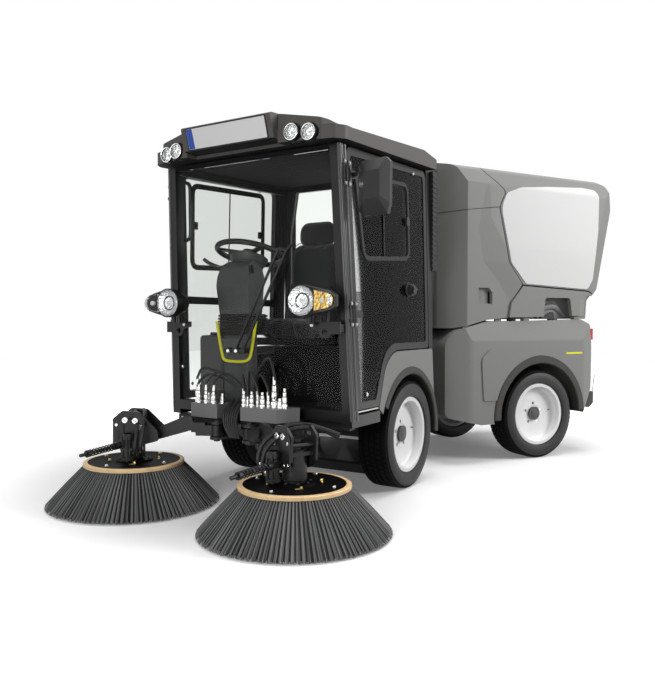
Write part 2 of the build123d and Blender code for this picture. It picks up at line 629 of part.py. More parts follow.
def shaft_plane(offset=0):
    """Plane across the steering shaft, its normal pointing up the shaft to the driver."""
    lean = radians(WHEEL_TILT)
    return Plane(origin=WHEEL_CENTRE, x_dir=(1, 0, 0), z_dir=(0, sin(lean), cos(lean))).offset(offset)


def steering_column():
    low = plan_prism([(-310, -640, 30), (-90, -640, 30), (-110, -540, 30), (-290, -540, 30)],
                     FLOOR_Z + SEAT, 960)
    pod = side_prism([(-650, 940, 20), (-690, 1180, 60), (-668, 1295, 40), (-600, 1330, 20),
                      (-540, 1285, 30), (-545, 940, 20)], -320, -50)
    pod &= front_prism([(-292, 900, 0), (-90, 900, 0), (-66, 1230, 60), (-104, 1345, 30),
                        (-266, 1345, 30), (-298, 1230, 60)], -700, -500)
    shaft = extrude(shaft_plane(-150) * Circle(38), 150 - 12 - RUNNING)
    pin = extrude(shaft_plane(-40) * Circle(9), 44)
    return low + pod + shaft + pin


def steering_wheel():
    ring = sweep(Plane(origin=shaft_plane().origin + shaft_plane().x_dir * STEER_RADIUS,
                       z_dir=shaft_plane().y_dir) * Circle(STEER_GRIP),
                 shaft_plane() * Edge.make_circle(STEER_RADIUS))
    hub = extrude(shaft_plane(-12) * Circle(42), 26) - extrude(shaft_plane(-13) * Circle(9 + PIN_GAP), 20)
    spokes = hub
    for angle in (90, 210, 330):
        plane = shaft_plane(-6)
        bar = extrude(plane * (Rot(0, 0, angle) * Pos(STEER_RADIUS / 2 + 8,
                                                      0) * Rectangle(STEER_RADIUS - 24, 30)), 12)
        spokes += bar
    return ring + spokes


def headlamps():
    """Lamp housings: a round bowl that runs out into the turn lamp's pocket, on a lugged bracket plate."""
    x, y, z = HEADLAMP
    lens = HEADLAMP_LENS
    rim = lens + 11
    tip = x + 186
    bowl = [(0, y + 112, 0), (46, y + 106, 20), (rim - 4, y + 30, 20), (rim - 4, y, 0), (0, y, 0)]
    lamp = Pos(x, 0, z) * revolve(face_of(bowl, Plane.XY), Axis.Y)
    lamp += rod((x, y - 24, z), (x, y + 6, z), rim)
    pocket = front_prism([(x, z - rim + 1, 0), (x, z + rim - 1, 0), (tip - 30, z + 44, 18),
                          (tip, z + 26, 14), (tip, z - 26, 14), (tip - 30, z - 44, 18)], y - 18, y + 34)
    pocket &= plan_prism([(x - 100, y - 20, 0), (x + 90, y - 20, 0), (tip + 6, y + 2, 20),
                          (tip + 6, y + 24, 20), (x + 60, y + 60, 20), (x - 100, y + 60, 0)], z - 120,
                         z + 120)
    lamp += pocket
    lamp -= rod((x, y - 30, z), (x, y + 4, z), lens) + Pos(x, y + 4, z) * Sphere(lens - 14)
    lamp -= front_prism([(x + lens + 3, z - 52, 4), (x + lens + 3, z + 52, 4), (tip - 34, z + 34, 14),
                         (tip - 9, z + 20, 12), (tip - 9, z - 20, 12), (tip - 34, z - 34, 14)], y - 30,
                        y + 12)
    plate_y = y + 118
    high = z - 102
    plate = front_prism([(x - 40, high - 30, 6), (x - 40, high, 4), (side_x(high) - 12, high, 2),
                         (side_x(high) - 12, high - 62, 4), (x + 86, high - 62, 12),
                         (x + 76, high - 82, 24), (x + 26, high - 82, 24), (x + 10, high - 40, 12)],
                        plate_y, plate_y + 10)
    plate -= rod((x + 50, plate_y - 1, high - 52), (x + 50, plate_y + 11, high - 52), 15)
    stem = block((x - 16, x + 16), (y + 70, plate_y + 10), (high - 14, high)) + upright(x, y + 84,
                                                                                        high - 1, z - 60,
                                                                                        15)
    stay_z = (high - 52, high - 12)
    stay = block((side_x(high) - 44, side_x(high) - 14), (plate_y, pillar_y(stay_z[1]) - SEAT), stay_z)
    return pair(lamp + plate + stem + stay)


def manifolds():
    """Coupling boxes with a row of quick couplings on top."""
    part = []
    low = RAIL_HIGH + SEAT
    for corners, top, first, last, count in MANIFOLDS:
        box = plan_prism([(x, y, 6) for x, y in corners], low, top)
        for k in range(count):
            share = k / (count - 1)
            x = first[0] + share * (last[0] - first[0])
            y = first[1] + share * (last[1] - first[1]) + 26 * (k % 2)
            profile = [(r, top - 5 + h, 0) for r, h in COUPLING]
            box += Pos(x, y, 0) * revolve(face_of(profile, Plane.XZ), Axis.Z)
        part.append(box)
    return part


def wiper():
    """Two parallel arms and a blade in front of the windscreen."""
    front = Plane(origin=(0, PILLAR_FOOT_Y, SILL_Z), x_dir=(1, 0, 0),
                  z_dir=(0, -cos(SCREEN_LEAN), -sin(SCREEN_LEAN)))

    def point(x, z, out):
        return front.origin + front.x_dir * x + front.y_dir * (z - SILL_Z) + front.z_dir * out

    arms = rod(point(208, 1364, 24), point(258, 1354, 24), 9) + rod(point(258, 1354, 24), point(283, 1374, 24), 7)
    for foot, knee in WIPER_ARMS:
        arms += rod(point(*foot, 24), point(*knee, 24), 8)
    blade = rod(point(283, 1374, 26), point(283, 1374, 8), 8)
    for low, high in zip(WIPER_BLADE, WIPER_BLADE[1:]):
        blade += rod(point(*low, 12), point(*high, 12), 8)
    feet = rod(point(WIPER_FEET[0], WIPER_FOOT_Z, 18), point(WIPER_FEET[-1], WIPER_FOOT_Z, 18), 11)
    for x in WIPER_FEET:
        feet += rod(point(x, WIPER_FOOT_Z, -12 + SEAT), point(x, WIPER_FOOT_Z, 30), 16)
    return arms + blade + feet


def air_duct():
    """Ribbed upright duct behind the left rear pillar."""
    x, y = 560.0, CAB_REAR_Y + 32 + SEAT
    duct = block((x - 34, x + 34), (y - 32, y + 32), (1300, 1920))
    for i in range(20):
        z = 1312 + i * 30
        duct += block((x - 38, x + 38), (y - 32, y + 38), (z, z + 14))
    return duct


def suction_duct():
    """Hollow flat duct behind the cab that rises to a swivel ring over the kingpin."""
    w = DUCT_WALL
    outer = [(420, 250, 0), (560, 250, 0), (560, 560, 60), (740, 640, 40), (740, 700, 0), (480, 700, 60),
             (420, 600, 0)]
    inner = [(420 + w, 240, 0), (560 - w, 240, 0), (560 - w, 566, 60), (760, 650, 30), (760, 700 - w, 0),
             (486, 700 - w, 54), (420 + w, 596, 0)]
    rise = side_prism(outer, -DUCT_HALF, DUCT_HALF) - side_prism(inner, w - DUCT_HALF, DUCT_HALF - w)
    ring = upright(0, PIVOT_Y, 650, 715, SWIVEL_RADIUS) - upright(0, PIVOT_Y, 649, 716, SWIVEL_RADIUS - 14)
    ring -= block((w - DUCT_HALF + 40, DUCT_HALF - w - 40), (600, PIVOT_Y), (656, 700 - w))
    return rise - upright(0, PIVOT_Y, 600, 760, SWIVEL_RADIUS - 6) + ring


def suction_mouth():
    hood = side_prism([(70, 30, 0), (70, 90, 20), (330, 190, 20), (420, 250 - RUNNING - 60, 10),
                       (560, 250 - RUNNING - 60, 10), (560, 30, 0)], -320, 320)
    hollow = side_prism([(82, 0, 0), (82, 84, 10), (548, 150, 10), (548, 0, 0)], -308, 308)
    mouth = hood - hollow
    for x in (-GUIDE_X, GUIDE_X):
        mouth += upright(x, GUIDE_Y, 120, 205, GUIDE_RADIUS + 9)
        mouth -= upright(x, GUIDE_Y, 100, 210, GUIDE_RADIUS + PIN_GAP)
    return mouth


# ---------------------------------------------------------------------------------------------------
# Doors
# ---------------------------------------------------------------------------------------------------
def door_rows(inset=0):
    """Outline of the door, shrunk by an inset."""
    i = inset
    front = PILLAR_LENGTH + DOOR_GAP + i
    back = CAB_REAR_Y - REAR_PILLAR_LENGTH - DOOR_GAP - i
    foot = SILL_Z + 12 + i
    top = DOOR_GAP + 6 + i
    low = FENDER_TOP_Z + DOOR_GAP + i
    return [(pillar_y(foot) + front, foot, 12), (pillar_y(1860) + front, skirt_z(-720) - top,
                                                 max(45 - i / 2, 8)),
            (back, skirt_z(back) - top, max(50 - i / 2, 8)), (back, low, 24), (-304 - i * 0.4, low, 205),
            (-412 - i * 0.9, foot, 12)]


def door_left():
    """Welded frame with its middle bar, knuckles and handle boss; the pane fills it."""
    frame = side_slab(door_rows(), 0, DOOR_THICKNESS) - side_slab(door_rows(DOOR_FRAME), -1,
                                                                  DOOR_THICKNESS + 2)
    bar = side_slab([(-800, 1085, 0), (400, 1085, 0), (400, 1130, 0), (-800, 1130, 0)], 16,
                    DOOR_THICKNESS - 16)
    bar &= side_slab(door_rows(DOOR_FRAME / 2), 0, DOOR_THICKNESS)
    frame += bar
    for z in HINGE_HEIGHTS:
        frame += hinge_door_half(z)
    return frame


def door_pane_left():
    pane = side_slab(door_rows(DOOR_FRAME + SEAT), 5, GLASS)
    knob = rod((side_x(1167, 6), 0, 1167), (side_x(1167, -26), 0, 1167), 34)
    knob += rod((side_x(1167, -26), 0, 1167), (side_x(1167, -38), 0, 1167), 24)
    return pane + knob


def mirror_left():
    """Faceted housing on a bent arm clamped to the door's upper hinge leaf."""
    x, y, z = 738.0, -712.0, 1640.0
    outline = [(x - 92, z - 110), (x - 70, z - 138), (x + 66, z - 134), (x + 78, z - 84),
               (x + 80, z + 118), (x + 56, z + 142), (x - 76, z + 132), (x - 92, z + 112)]
    face = [(x - 40, z - 60), (x - 30, z - 66), (x + 44, z - 64), (x + 50, z - 54), (x + 50, z + 64),
            (x + 44, z + 74), (x - 30, z + 70), (x - 40, z + 60)]

    def section(rows, depth):
        return make_face(Polyline(*[(u, depth, v) for u, v in rows], close=True))

    shell = loft([section(face, y - 58), section(outline, y - 6)], ruled=True)
    shell += loft([section(outline, y - 6), section(outline, y + 22)], ruled=True)
    top = HINGE_HEIGHTS[1]
    foot_y = pillar_y(top) + PILLAR_LENGTH + 60
    root = (side_x(top, -10 - SEAT), foot_y, top)
    knee = (root[0] + 16, foot_y, top)
    elbow = (root[0] + 60, foot_y - 30, top + 40)
    arm = rod(root, knee, 13) + rod(knee, elbow, 9) + rod(elbow, (x - 40, y + 4, z + 80), 9)
    arm += Pos(*elbow) * Sphere(9) + Pos(*knee) * Sphere(9)
    return shell + arm


# ---------------------------------------------------------------------------------------------------
# Brushes
# ---------------------------------------------------------------------------------------------------
ARM_TURN = atan2(BRUSH_Y - ARM_PIVOT_Y, BRUSH_X - ARM_PIVOT_X)
ARM_REACH = hypot(BRUSH_Y - ARM_PIVOT_Y, BRUSH_X - ARM_PIVOT_X)


def arm_place(shape):
    """From arm axes (x along the arm from its upright pin) to the left arm's place."""
    return Pos(ARM_PIVOT_X, ARM_PIVOT_Y, ARM_Z) * Rot(0, 0, degrees(ARM_TURN)) * shape


LINK_SPAN = LINK_LENGTH * cos(radians(LINK_DROP))
HEAD_PIN_AT = LIFT_PIN_AT + LINK_SPAN
HEAD_PIN_RISE = LIFT_PIN_RISE - LINK_LENGTH * sin(radians(LINK_DROP))


def cross_pin(x, z, half, radius):
    """Cylinder across the arm."""
    return rod((x, -half, z), (x, half, z), radius)


def brush_arm_left():
    """Swing arm with its upright boss and the fork of the lift link."""
    half_h = ARM_HEIGHT / 2
    half_w = ARM_WIDTH / 2
    cheek = LINK_WIDTH / 2 + 1
    boss = upright(0, 0, -half_h, half_h, 34)
    beam = block((0, LIFT_PIN_AT - 20), (-half_w, half_w), (-half_h, half_h))
    fork = block((LIFT_PIN_AT - 40, LIFT_PIN_AT + 4), (-half_w, half_w), (-10, LIFT_PIN_RISE))
    fork += cross_pin(LIFT_PIN_AT, LIFT_PIN_RISE, half_w, LINK_BOSS)
    fork += block((LIFT_PIN_AT - 70, LIFT_PIN_AT - 20), (-half_w, half_w), (0, LIFT_PIN_RISE + 18))
    arm = boss + beam + fork
    arm -= block((LIFT_PIN_AT - LINK_BOSS - RUNNING, LIFT_PIN_AT + 60), (-cheek, cheek), (-half_h - 1, 80))
    arm += cross_pin(LIFT_PIN_AT, LIFT_PIN_RISE, half_w, LINK_PIN)
    arm -= upright(0, 0, -half_h - 1, half_h + 1, KNUCKLE_PIN + PIN_GAP)
    return arm_place(arm)


def brush_link_left():
    """Lift link between the arm and the head."""
    half = LINK_WIDTH / 2
    outline = [(-4, -LINK_BOSS, 6), (LINK_LENGTH, -LINK_BOSS - 3, 10), (LINK_LENGTH + LINK_BOSS, 0, 12),
               (LINK_LENGTH, LINK_CREST - 22, 20), (40, LINK_CREST, 30), (-8, LINK_CREST - 8, 14)]
    link = front_prism(outline, -half, half)
    link += cross_pin(0, 0, half, LINK_BOSS) + cross_pin(LINK_LENGTH, 0, half, LINK_BOSS)
    link -= cross_pin(0, 0, half + 1, LINK_PIN + PIN_GAP) + cross_pin(LINK_LENGTH, 0, half + 1,
                                                                      LINK_PIN + PIN_GAP)
    return arm_place(Pos(LIFT_PIN_AT, 0, LIFT_PIN_RISE) * Rot(0, LINK_DROP, 0) * link)


def brush_head_left():
    """Cranked side plates with the link's clevis, motor and spring rod."""
    outline = [(HEAD_PIN_AT - 26, HEAD_PIN_RISE - 24, 16), (HEAD_PIN_AT - 20, HEAD_PIN_RISE + 30, 16),
               (ARM_REACH - 50, 100, 24), (ARM_REACH + 40, 104, 20), (ARM_REACH + 92, 60, 20),
               (ARM_REACH + 84, -60, 20), (ARM_REACH + 20, -100, 10)]
    slot = [(ARM_REACH - 44, 52, 8.9), (ARM_REACH - 44, 70, 8.9), (ARM_REACH + 44, 70, 8.9),
            (ARM_REACH + 44, 52, 8.9)]
    inner = LINK_WIDTH / 2 + 1
    outer = HEAD_PLATE_AT + HEAD_PLATE
    head = cross_pin(HEAD_PIN_AT, HEAD_PIN_RISE, outer, LINK_PIN)
    for y in (-outer, HEAD_PLATE_AT):
        head += front_prism(outline, y, y + HEAD_PLATE) - front_prism(slot, y - 1, y + HEAD_PLATE + 1)
    for low, high in ((-HEAD_PLATE_AT, -inner), (inner, HEAD_PLATE_AT)):
        head += rod((HEAD_PIN_AT, low, HEAD_PIN_RISE), (HEAD_PIN_AT, high, HEAD_PIN_RISE), 2 * LINK_PIN)
    floor = BRUSH_RING_Z + 46 - ARM_Z
    head += upright(ARM_REACH, 0, floor + RUNNING, -10, 58) + upright(ARM_REACH, 0, -40, 40, 42)
    head += upright(ARM_REACH, 0, floor - 16, floor + RUNNING, SPIN_SHAFT)
    head += block((ARM_REACH - 70, ARM_REACH + 60), (-HEAD_PLATE_AT - 1, HEAD_PLATE_AT + 1), (-34, -16))
    head += cross_pin(ARM_REACH + 62, 16, HEAD_PLATE_AT + 4, 10)
    # spring rod that points forward, with the two collars that hold its spring
    foot = Vector(ARM_REACH + 2, 1 - outer, -64)
    tip = Vector(ARM_REACH + 123, -384, -78)
    head += rod(foot, tip, SPRING_ROD)
    for start, end in ((0.2, 0.32), (0.82, 0.88)):
        head += rod(foot + (tip - foot) * start, foot + (tip - foot) * end, 2 * SPRING_ROD)
    # motor can in front of the near plate, on a shelf
    head += block((ARM_REACH - 40, ARM_REACH + 24), (-outer - 64, 1 - outer), (-96, -84))
    head += upright(ARM_REACH - 8, -outer - 34, -84, -10, 28)
    return arm_place(head)


def bristle_bundles(foot, ring):
    """Cone of bristles, gathered into bundles that stand out as ridges from the ring to the ground."""
    sections = []
    for z, crest, depth in ((foot, BRUSH_RADIUS, TUFT_DEPTH),
                            (ring, BRUSH_RING_RADIUS - 4, TUFT_DEPTH / 3)):
        corners = []
        for i in range(TUFT_COUNT):
            for share, reach in ((0.0, crest - depth), (0.2, crest), (0.8, crest)):
                turn = 2 * pi * (i + share) / TUFT_COUNT
                corners.append((reach * cos(turn), reach * sin(turn), z))
        sections.append(make_face(Polyline(*corners, close=True)))
    return loft(sections, ruled=True)


def brush_left():
    """Drive disc, wooden ring and the cone of bristles."""
    foot = BRUSH_FOOT_Z
    ring = BRUSH_RING_Z
    rows = [(0, ring + 24, 0), (90, ring + 24, 0), (100, ring + 16, 0), (240, ring + 12, 0),
            (BRUSH_RING_RADIUS, ring + 16, 3), (BRUSH_RING_RADIUS, ring, 3),
            (BRUSH_RING_RADIUS - 20, ring - 6, 0), (0, ring - 6, 0)]
    hollow = [(0, foot - 1, 0), (BRUSH_RADIUS - 130, foot - 1, 0), (150, ring - 6, 0), (0, ring - 6, 0)]
    brush = revolve(face_of(rows, Plane.XZ), Axis.Z) + upright(0, 0, ring + 20, ring + 46 - RUNNING, 46)
    brush += bristle_bundles(foot, ring) - revolve(face_of(hollow, Plane.XZ), Axis.Z)
    brush -= upright(0, 0, ring - 10, ring + 50, SPIN_SHAFT + PIN_GAP)
    return Pos(BRUSH_X, BRUSH_Y, 0) * brush


# ---------------------------------------------------------------------------------------------------
# Rear module
# ---------------------------------------------------------------------------------------------------


def rear_chassis():
    """Pivot tongue, two rails, cross members and the rear bumper."""
    half = TONGUE_HALF
    low = FORK_LOW + FORK_PLATE + RUNNING
    high = FORK_LOW + FORK_PLATE + FORK_GAP - RUNNING
    tongue = upright(0, PIVOT_Y, low, high, PIVOT_HEAD_RADIUS) + block((-half, half),
                                                                       (PIVOT_Y, REAR_RAIL_FRONT + 60),
                                                                       (low, high))
    tongue -= upright(0, PIVOT_Y, low - 1, high + 1, KINGPIN_RADIUS + PIN_GAP)
    x = REAR_RAIL_X
    frame = tongue + block((-x, x), (REAR_RAIL_FRONT, REAR_RAIL_FRONT + 60), (RAIL_LOW, RAIL_HIGH))
    rail = (x - RAIL_WIDTH / 2, x + RAIL_WIDTH / 2)
    for piece in pair(box_rail(rail, (REAR_RAIL_FRONT, REAR_RAIL_END), (RAIL_LOW, RAIL_HIGH))):
        frame += piece
    for y in (1480, 2060):
        frame += block((-x, x), (y, y + 50), (RAIL_LOW + 15, RAIL_HIGH - 15))
    frame += block((-x - 30, x + 30), (REAR_RAIL_END - 40, REAR_RAIL_END), (RAIL_LOW, RAIL_HIGH))
    for y, reach in ((1280, BODY_HALF - BODY_WALL - SEAT), (REAR_RAIL_END - 20, BODY_HALF - BODY_WALL - 5)):
        for piece in pair(block((x, reach), (y, y + 20), (RAIL_HIGH - 50, RAIL_HIGH))):
            frame += piece
    # posts and pins of the tipping container
    post_low, post_high = TILT_POST_X
    post = block((post_low, post_high), (REAR_RAIL_END - 40, REAR_RAIL_END),
                 (RAIL_HIGH - 20, TILT_PIN_Z + 10))
    post += across(post_low, post_high, TILT_PIN_Y, TILT_PIN_Z, TILT_EYE_RADIUS)
    post += block((post_low, post_high), (REAR_RAIL_END - 40, TILT_PIN_Y),
                  (TILT_PIN_Z - 40, TILT_PIN_Z + 10))
    post += across(post_low - TILT_EYE_WIDTH - 8, post_high + TILT_EYE_WIDTH + 8, TILT_PIN_Y, TILT_PIN_Z,
                   TILT_PIN_RADIUS)
    for piece in pair(post):
        frame += piece
    # step bumper, undercut below
    bumper = side_prism(BUMPER, -BUMPER_HALF, BUMPER_HALF)
    bumper &= plan_prism(symmetric([(BUMPER_HALF, 2150, 0), (BUMPER_HALF, 2360, 40),
                                    (BUMPER_HALF - 50, 2410, 40)]), 300, 500)
    for x in (-200, 200):
        frame += block((x - 25, x + 25), (REAR_RAIL_END - 20, 2340), (385, 440))
    frame += bumper
    for z in (TOW_Z - TOW_GAP / 2 - TOW_PLATE, TOW_Z + TOW_GAP / 2):
        jaw = block((-45, 45), (2345, TOW_Y), (z, z + TOW_PLATE)) + upright(0, TOW_Y, z, z + TOW_PLATE, 45)
        frame += jaw - upright(0, TOW_Y, z - 1, z + TOW_PLATE + 1, TOW_BORE_RADIUS)
    return frame


def deck_z(y):
    """Height of the lower body's top at a distance behind the front axle."""
    for (y_low, z_low), (y_high, z_high) in zip(DECK_LINE, DECK_LINE[1:]):
        if y <= y_high:
            return z_low + (y - y_low) * (z_high - z_low) / (y_high - y_low)
    return z_high


def lower_body_form(inset):
    """Outer form of the lower body, drawn in by an inset."""
    i = inset
    foot = BODY_FOOT_Z - 40 * (i > 0)
    front = BODY_FRONT_Y + 30 + i
    side = [(front, foot + 60, 4 if i else 50), (front, 850, 110)]
    side += [(y, z - i, 30) for y, z in DECK_LINE]
    side += [(2300 - i, 962 - i, 30), (2336 - i, 772, 100), (2322 - i, 485, 60), (2190 - i, foot, 8),
             (1250, foot, 60)]
    plan = symmetric([(BODY_FRONT_HALF + 40 - i, 900 + i, 60), (BODY_HALF - i, 1160, 160),
                      (BODY_HALF - i, 2215, 110), (BODY_HALF - 40 - i, 2345 - i, 40)])
    section = symmetric([(BODY_HALF - i, 100, 0), (BODY_HALF - i, 850 - i, 0 if i else 90),
                         (BODY_HALF - 34 - i, 1060 - i, 0)])
    return side_prism(side, -BEYOND, BEYOND) & plan_prism(plan, 100, 1200) & front_prism(section, 800,
                                                                                         FAR_BACK)


def lower_body():
    """Hollow shell with wheel arches, the well of the container's tub and the raised pads over the arches."""
    shell = lower_body_form(0) - lower_body_form(BODY_WALL)
    shell -= block((-BEYOND, BEYOND), (900, 2400), (0, BODY_FOOT_Z + 0.5))
    for piece in pair(side_prism(ARCH_PAD, BODY_HALF - 20, BODY_HALF + 8)):
        shell += piece
    shell -= across(-BEYOND, BEYOND, REAR_AXLE_Y, TYRE_RADIUS, REAR_ARCH_OUTER + SEAT)
    shell -= block((-TUB_HALF - 12, TUB_HALF + 12), (TUB_FRONT_Y - 20, 2400), (900, 1100))
    shell -= block((-TONGUE_HALF - 120, TONGUE_HALF + 120), (880, 1010), (200, 560))
    shell -= block((-REAR_RAIL_X - 45, REAR_RAIL_X + 45), (2150, 2400), (200, 480))
    return shell


def rear_arch_linings():
    inner_x = REAR_TRACK_HALF - TYRE_WIDTH / 2 - 14
    return pair(arch_lining(REAR_AXLE_Y, BODY_HALF + 12, inner_x, -88, 93, REAR_ARCH_OUTER,
                            REAR_ARCH_INNER))


def engine_block():
    return block((-228, 228), (1250, 1950), (RAIL_HIGH + SEAT, 890))


def upper_form(i):
    """Common cross-section and plan of the hood and the container, drawn in by an inset."""
    section = symmetric([(BODY_HALF - i, 900, 0), (BODY_HALF - i, 1500, 300),
                         (BODY_HALF - 14 - i, SHOULDER_Z, 80),
                         (BODY_HALF - 66 - i, BODY_TOP_Z - 36 - i, 60),
                         (BODY_HALF - 200 - i, BODY_TOP_Z - 14 - i, 200), (150, BODY_TOP_Z - i, 100)])
    plan = symmetric([(BODY_FRONT_HALF - 14 - i, BODY_FRONT_Y + i, 40), (BODY_HALF - 12 - i, 1140, 60),
                      (BODY_HALF - i, 1330, 200), (BODY_HALF - i, FAR_BACK, 0)])
    return front_prism(section, 850, FAR_BACK) & plan_prism(plan, 850, FAR_UP)


def back_y(z):
    """y of the container's rear face at a height."""
    for (y_high, z_high, r), (y_low, z_low, q) in zip(BACK_FACE, BACK_FACE[1:]):
        if z >= z_low:
            return y_low + (z - z_low) * (y_high - y_low) / (z_high - z_low)
    return y_low


def rear_corners(grow):
    """Wedges that cut both rear corners of the upper body, along its rear face."""
    deep, long = CORNER_CUT
    sections = []
    for z in (900, BACK_FACE[2][1], BACK_FACE[1][1], BODY_TOP_Z + 200):
        y = back_y(z) - grow
        corners = [(BODY_HALF - deep, y), (BODY_HALF + 60, y - long - 60 * long / deep),
                   (BODY_HALF + 60, y + 200), (BODY_HALF - deep, y + 200)]
        sections.append(make_face(Polyline(*[(x, v, z) for x, v in corners], close=True)))
    return pair(loft(sections, ruled=True))


def band_face(rows, x):
    return make_face(Polyline(*[(x, y, z) for y, z in rows], close=True))


def hood():
    """Fixed shell ahead of the container: a raised band follows its seam, with a hand grip each side."""
    base = BODY_HALF - BAND_RISE
    band = loft([band_face(BAND_FOOT, base), band_face(BAND_CREST, BODY_HALF + 1)], ruled=True)
    core = block((-base, base), (800, FAR_BACK), (800, FAR_UP)) + band + other_side(band)
    rows = [(900, 937, 0), (900, 2400, 0)] + [(y - CONTAINER_GAP, z, r) for y, z, r in reversed(SEAM)]
    rows += [(y - 4, z, 0) for y, z in SKIRT_SEAM]
    rows += [(1300, deck_z(1300) + 12, 0), (1060, deck_z(1060) + 12, 0)]
    outer = side_prism(rows, -BEYOND, BEYOND) & upper_form(0) & core
    roof_z = BODY_TOP_Z - HOOD_ROOF
    inner = side_prism([(940, 900, 0), (960, roof_z, 0), (1200, roof_z, 0), (1360, 1860, 0), (1340, 1780, 0),
                        (1430, 1400, 0), (1440, 900, 0)], -BEYOND, BEYOND)
    shell = outer - (inner & upper_form(BODY_WALL + 24))
    shell -= block((-TUB_HALF - 12, TUB_HALF + 12), (TUB_FRONT_Y - 14, 2400), (900, 1400))
    for piece in pair(side_prism(GRIP, base - 30, BEYOND)):
        shell -= piece
    seam = side_prism([(800, 1695, 0), (1500, 1788, 0), (1500, 1793, 0), (800, 1700, 0)], -BEYOND, BEYOND)
    shell -= seam & (upper_form(-20) - upper_form(BAND_RISE + 5))
    for y in (1120, 1400):
        shell += deck_pads(y)
    return shell


def deck_pads(y):
    """Two feet that stand on the lower body's deck at a distance behind the front axle."""
    rows = [(y, deck_z(y) + SEAT, 0), (y + 50, deck_z(y + 50) + SEAT, 0), (y + 50, deck_z(y + 50) + 40, 0),
            (y, deck_z(y) + 40, 0)]
    return Compound(pair(side_prism(rows, BODY_HALF - 56, BODY_HALF - 40)))


def side_skirts():
    """Fixed strips below the container's overhang, open where its latch sits."""
    reach = OVERHANG_RADIUS - CONTAINER_GAP
    rows = [(y, z, 0) for y, z in reversed(SKIRT_SEAM)]
    rows += [(1618, 1245 - CONTAINER_GAP, 0), (TILT_PIN_Y, TILT_PIN_Z + reach, 0), (2396, 1225, 0),
             (2320, 1146, 20), (2308, DECK_Z + 40, 10)]
    room = side_prism([(1000, 900, 0), (1000, 1195, 0), (2700, 1175, 0), (2700, 900, 0)], 0, BEYOND)
    skin = side_prism(rows, TUB_HALF + 12, BEYOND) & upper_form(0)
    skin -= room & upper_form(BODY_WALL + 8)
    for piece in rear_corners(0):
        skin -= piece
    skin &= block((0, BEYOND), (1400, TILT_PIN_Y), (900, 1300)) + across(0, BEYOND, TILT_PIN_Y, TILT_PIN_Z, reach)
    skin -= side_prism([(1811, 1000, 0), (1826, 1156, 20), (2068, 1158, 20), (2094, 1000, 0)], 0, BEYOND)
    for y in (1640, 2130):
        rows = [(y, deck_z(y) + SEAT, 0), (y + 50, deck_z(y + 50) + SEAT, 0), (y + 50, 1100, 0), (y, 1100, 0)]
        skin += side_prism(rows, BODY_HALF - 56, BODY_HALF - 20)
    return pair(skin)


GATE_PIN_Y = back_y(GATE_HIGH) + 13
GATE_PIN_Z = GATE_HIGH + 18


def container_form():
    """Outer form: wide upper part with a narrower tub below."""
    rows = [(TUB_FRONT_Y, TUB_FLOOR_Z, 10), (TUB_FRONT_Y + 4, 1180, 0)] + SEAM
    rows += [(2290, BODY_TOP_Z + 1, 150), (2478, BODY_TOP_Z - 67, 60)] + BACK_FACE
    form = side_prism(rows, -BEYOND, BEYOND) & upper_form(0)
    below = [(1500, 1245, 0), (1618, 1245, 0), (TILT_PIN_Y, TILT_PIN_Z + OVERHANG_RADIUS, 0),
             (TILT_PIN_Y, 900, 0), (1500, 900, 0)]
    under = side_prism(below, TUB_HALF, BEYOND) + across(TUB_HALF, BEYOND, TILT_PIN_Y, TILT_PIN_Z,
                                                         OVERHANG_RADIUS)
    for piece in pair(under):
        form -= piece
    for piece in rear_corners(0):
        form -= piece
    return form


def container():
    """Waste container, open at the back, with the tailgate's hinge ears."""
    wall = 24
    roof_z = BODY_TOP_Z - CONTAINER_ROOF
    room = side_prism([(1610, 1040, 30), (1650, 1400, 80), (1530, 1780, 80), (1560, roof_z, 30),
                       (2700, roof_z, 0), (2700, 1040, 0)], -BEYOND, BEYOND)
    room &= upper_form(BODY_WALL + 20) + block((-480, 480), (1500, 2700), (1000, 1900))
    room -= block((-BEYOND, BEYOND), (1500, 2700), (900, 1290)) - block((-TUB_HALF + wall,
                                                                         TUB_HALF - wall), (1400, 2700),
                                                                        (800, 1400))
    room -= side_prism([(y - 50, z, 0) for y, z, r in BACK_FACE] + [(2900, 1000, 0), (2900, 2400, 0),
                                                                    (back_y(2400) - 50, 2400, 0)], -BEYOND,
                       BEYOND)
    for piece in rear_corners(45):
        room -= piece
    opening = block((-GATE_HALF, GATE_HALF), (2200, 2700), (GATE_LOW, GATE_HIGH))
    shell = container_form() - room - opening
    post_low, post_high = TILT_POST_X
    for low in (post_low - TILT_EYE_WIDTH - 4, post_high + 4):
        eye = block((low, low + TILT_EYE_WIDTH), (TILT_PIN_Y - 20, TILT_PIN_Y + 20),
                    (TILT_PIN_Z, TUB_FLOOR_Z + 6))
        eye += across(low, low + TILT_EYE_WIDTH, TILT_PIN_Y, TILT_PIN_Z, TILT_EYE_RADIUS)
        eye -= across(low - 1, low + TILT_EYE_WIDTH + 1, TILT_PIN_Y, TILT_PIN_Z, TILT_PIN_RADIUS + PIN_GAP)
        for piece in pair(eye):
            shell += piece
    for side in (-1, 1):
        for step in (-46, 32):
            x = side * GATE_HINGE_X + step
            ear = block((x, x + 14), (GATE_PIN_Y - 40, GATE_PIN_Y),
                        (GATE_PIN_Z - GATE_KNUCKLE_RADIUS, GATE_PIN_Z + GATE_KNUCKLE_RADIUS))
            shell += ear + across(x, x + 14, GATE_PIN_Y, GATE_PIN_Z, GATE_KNUCKLE_RADIUS)
        shell += across(side * GATE_HINGE_X - 46, side * GATE_HINGE_X + 46, GATE_PIN_Y, GATE_PIN_Z,
                        GATE_PIN_RADIUS)
    return shell


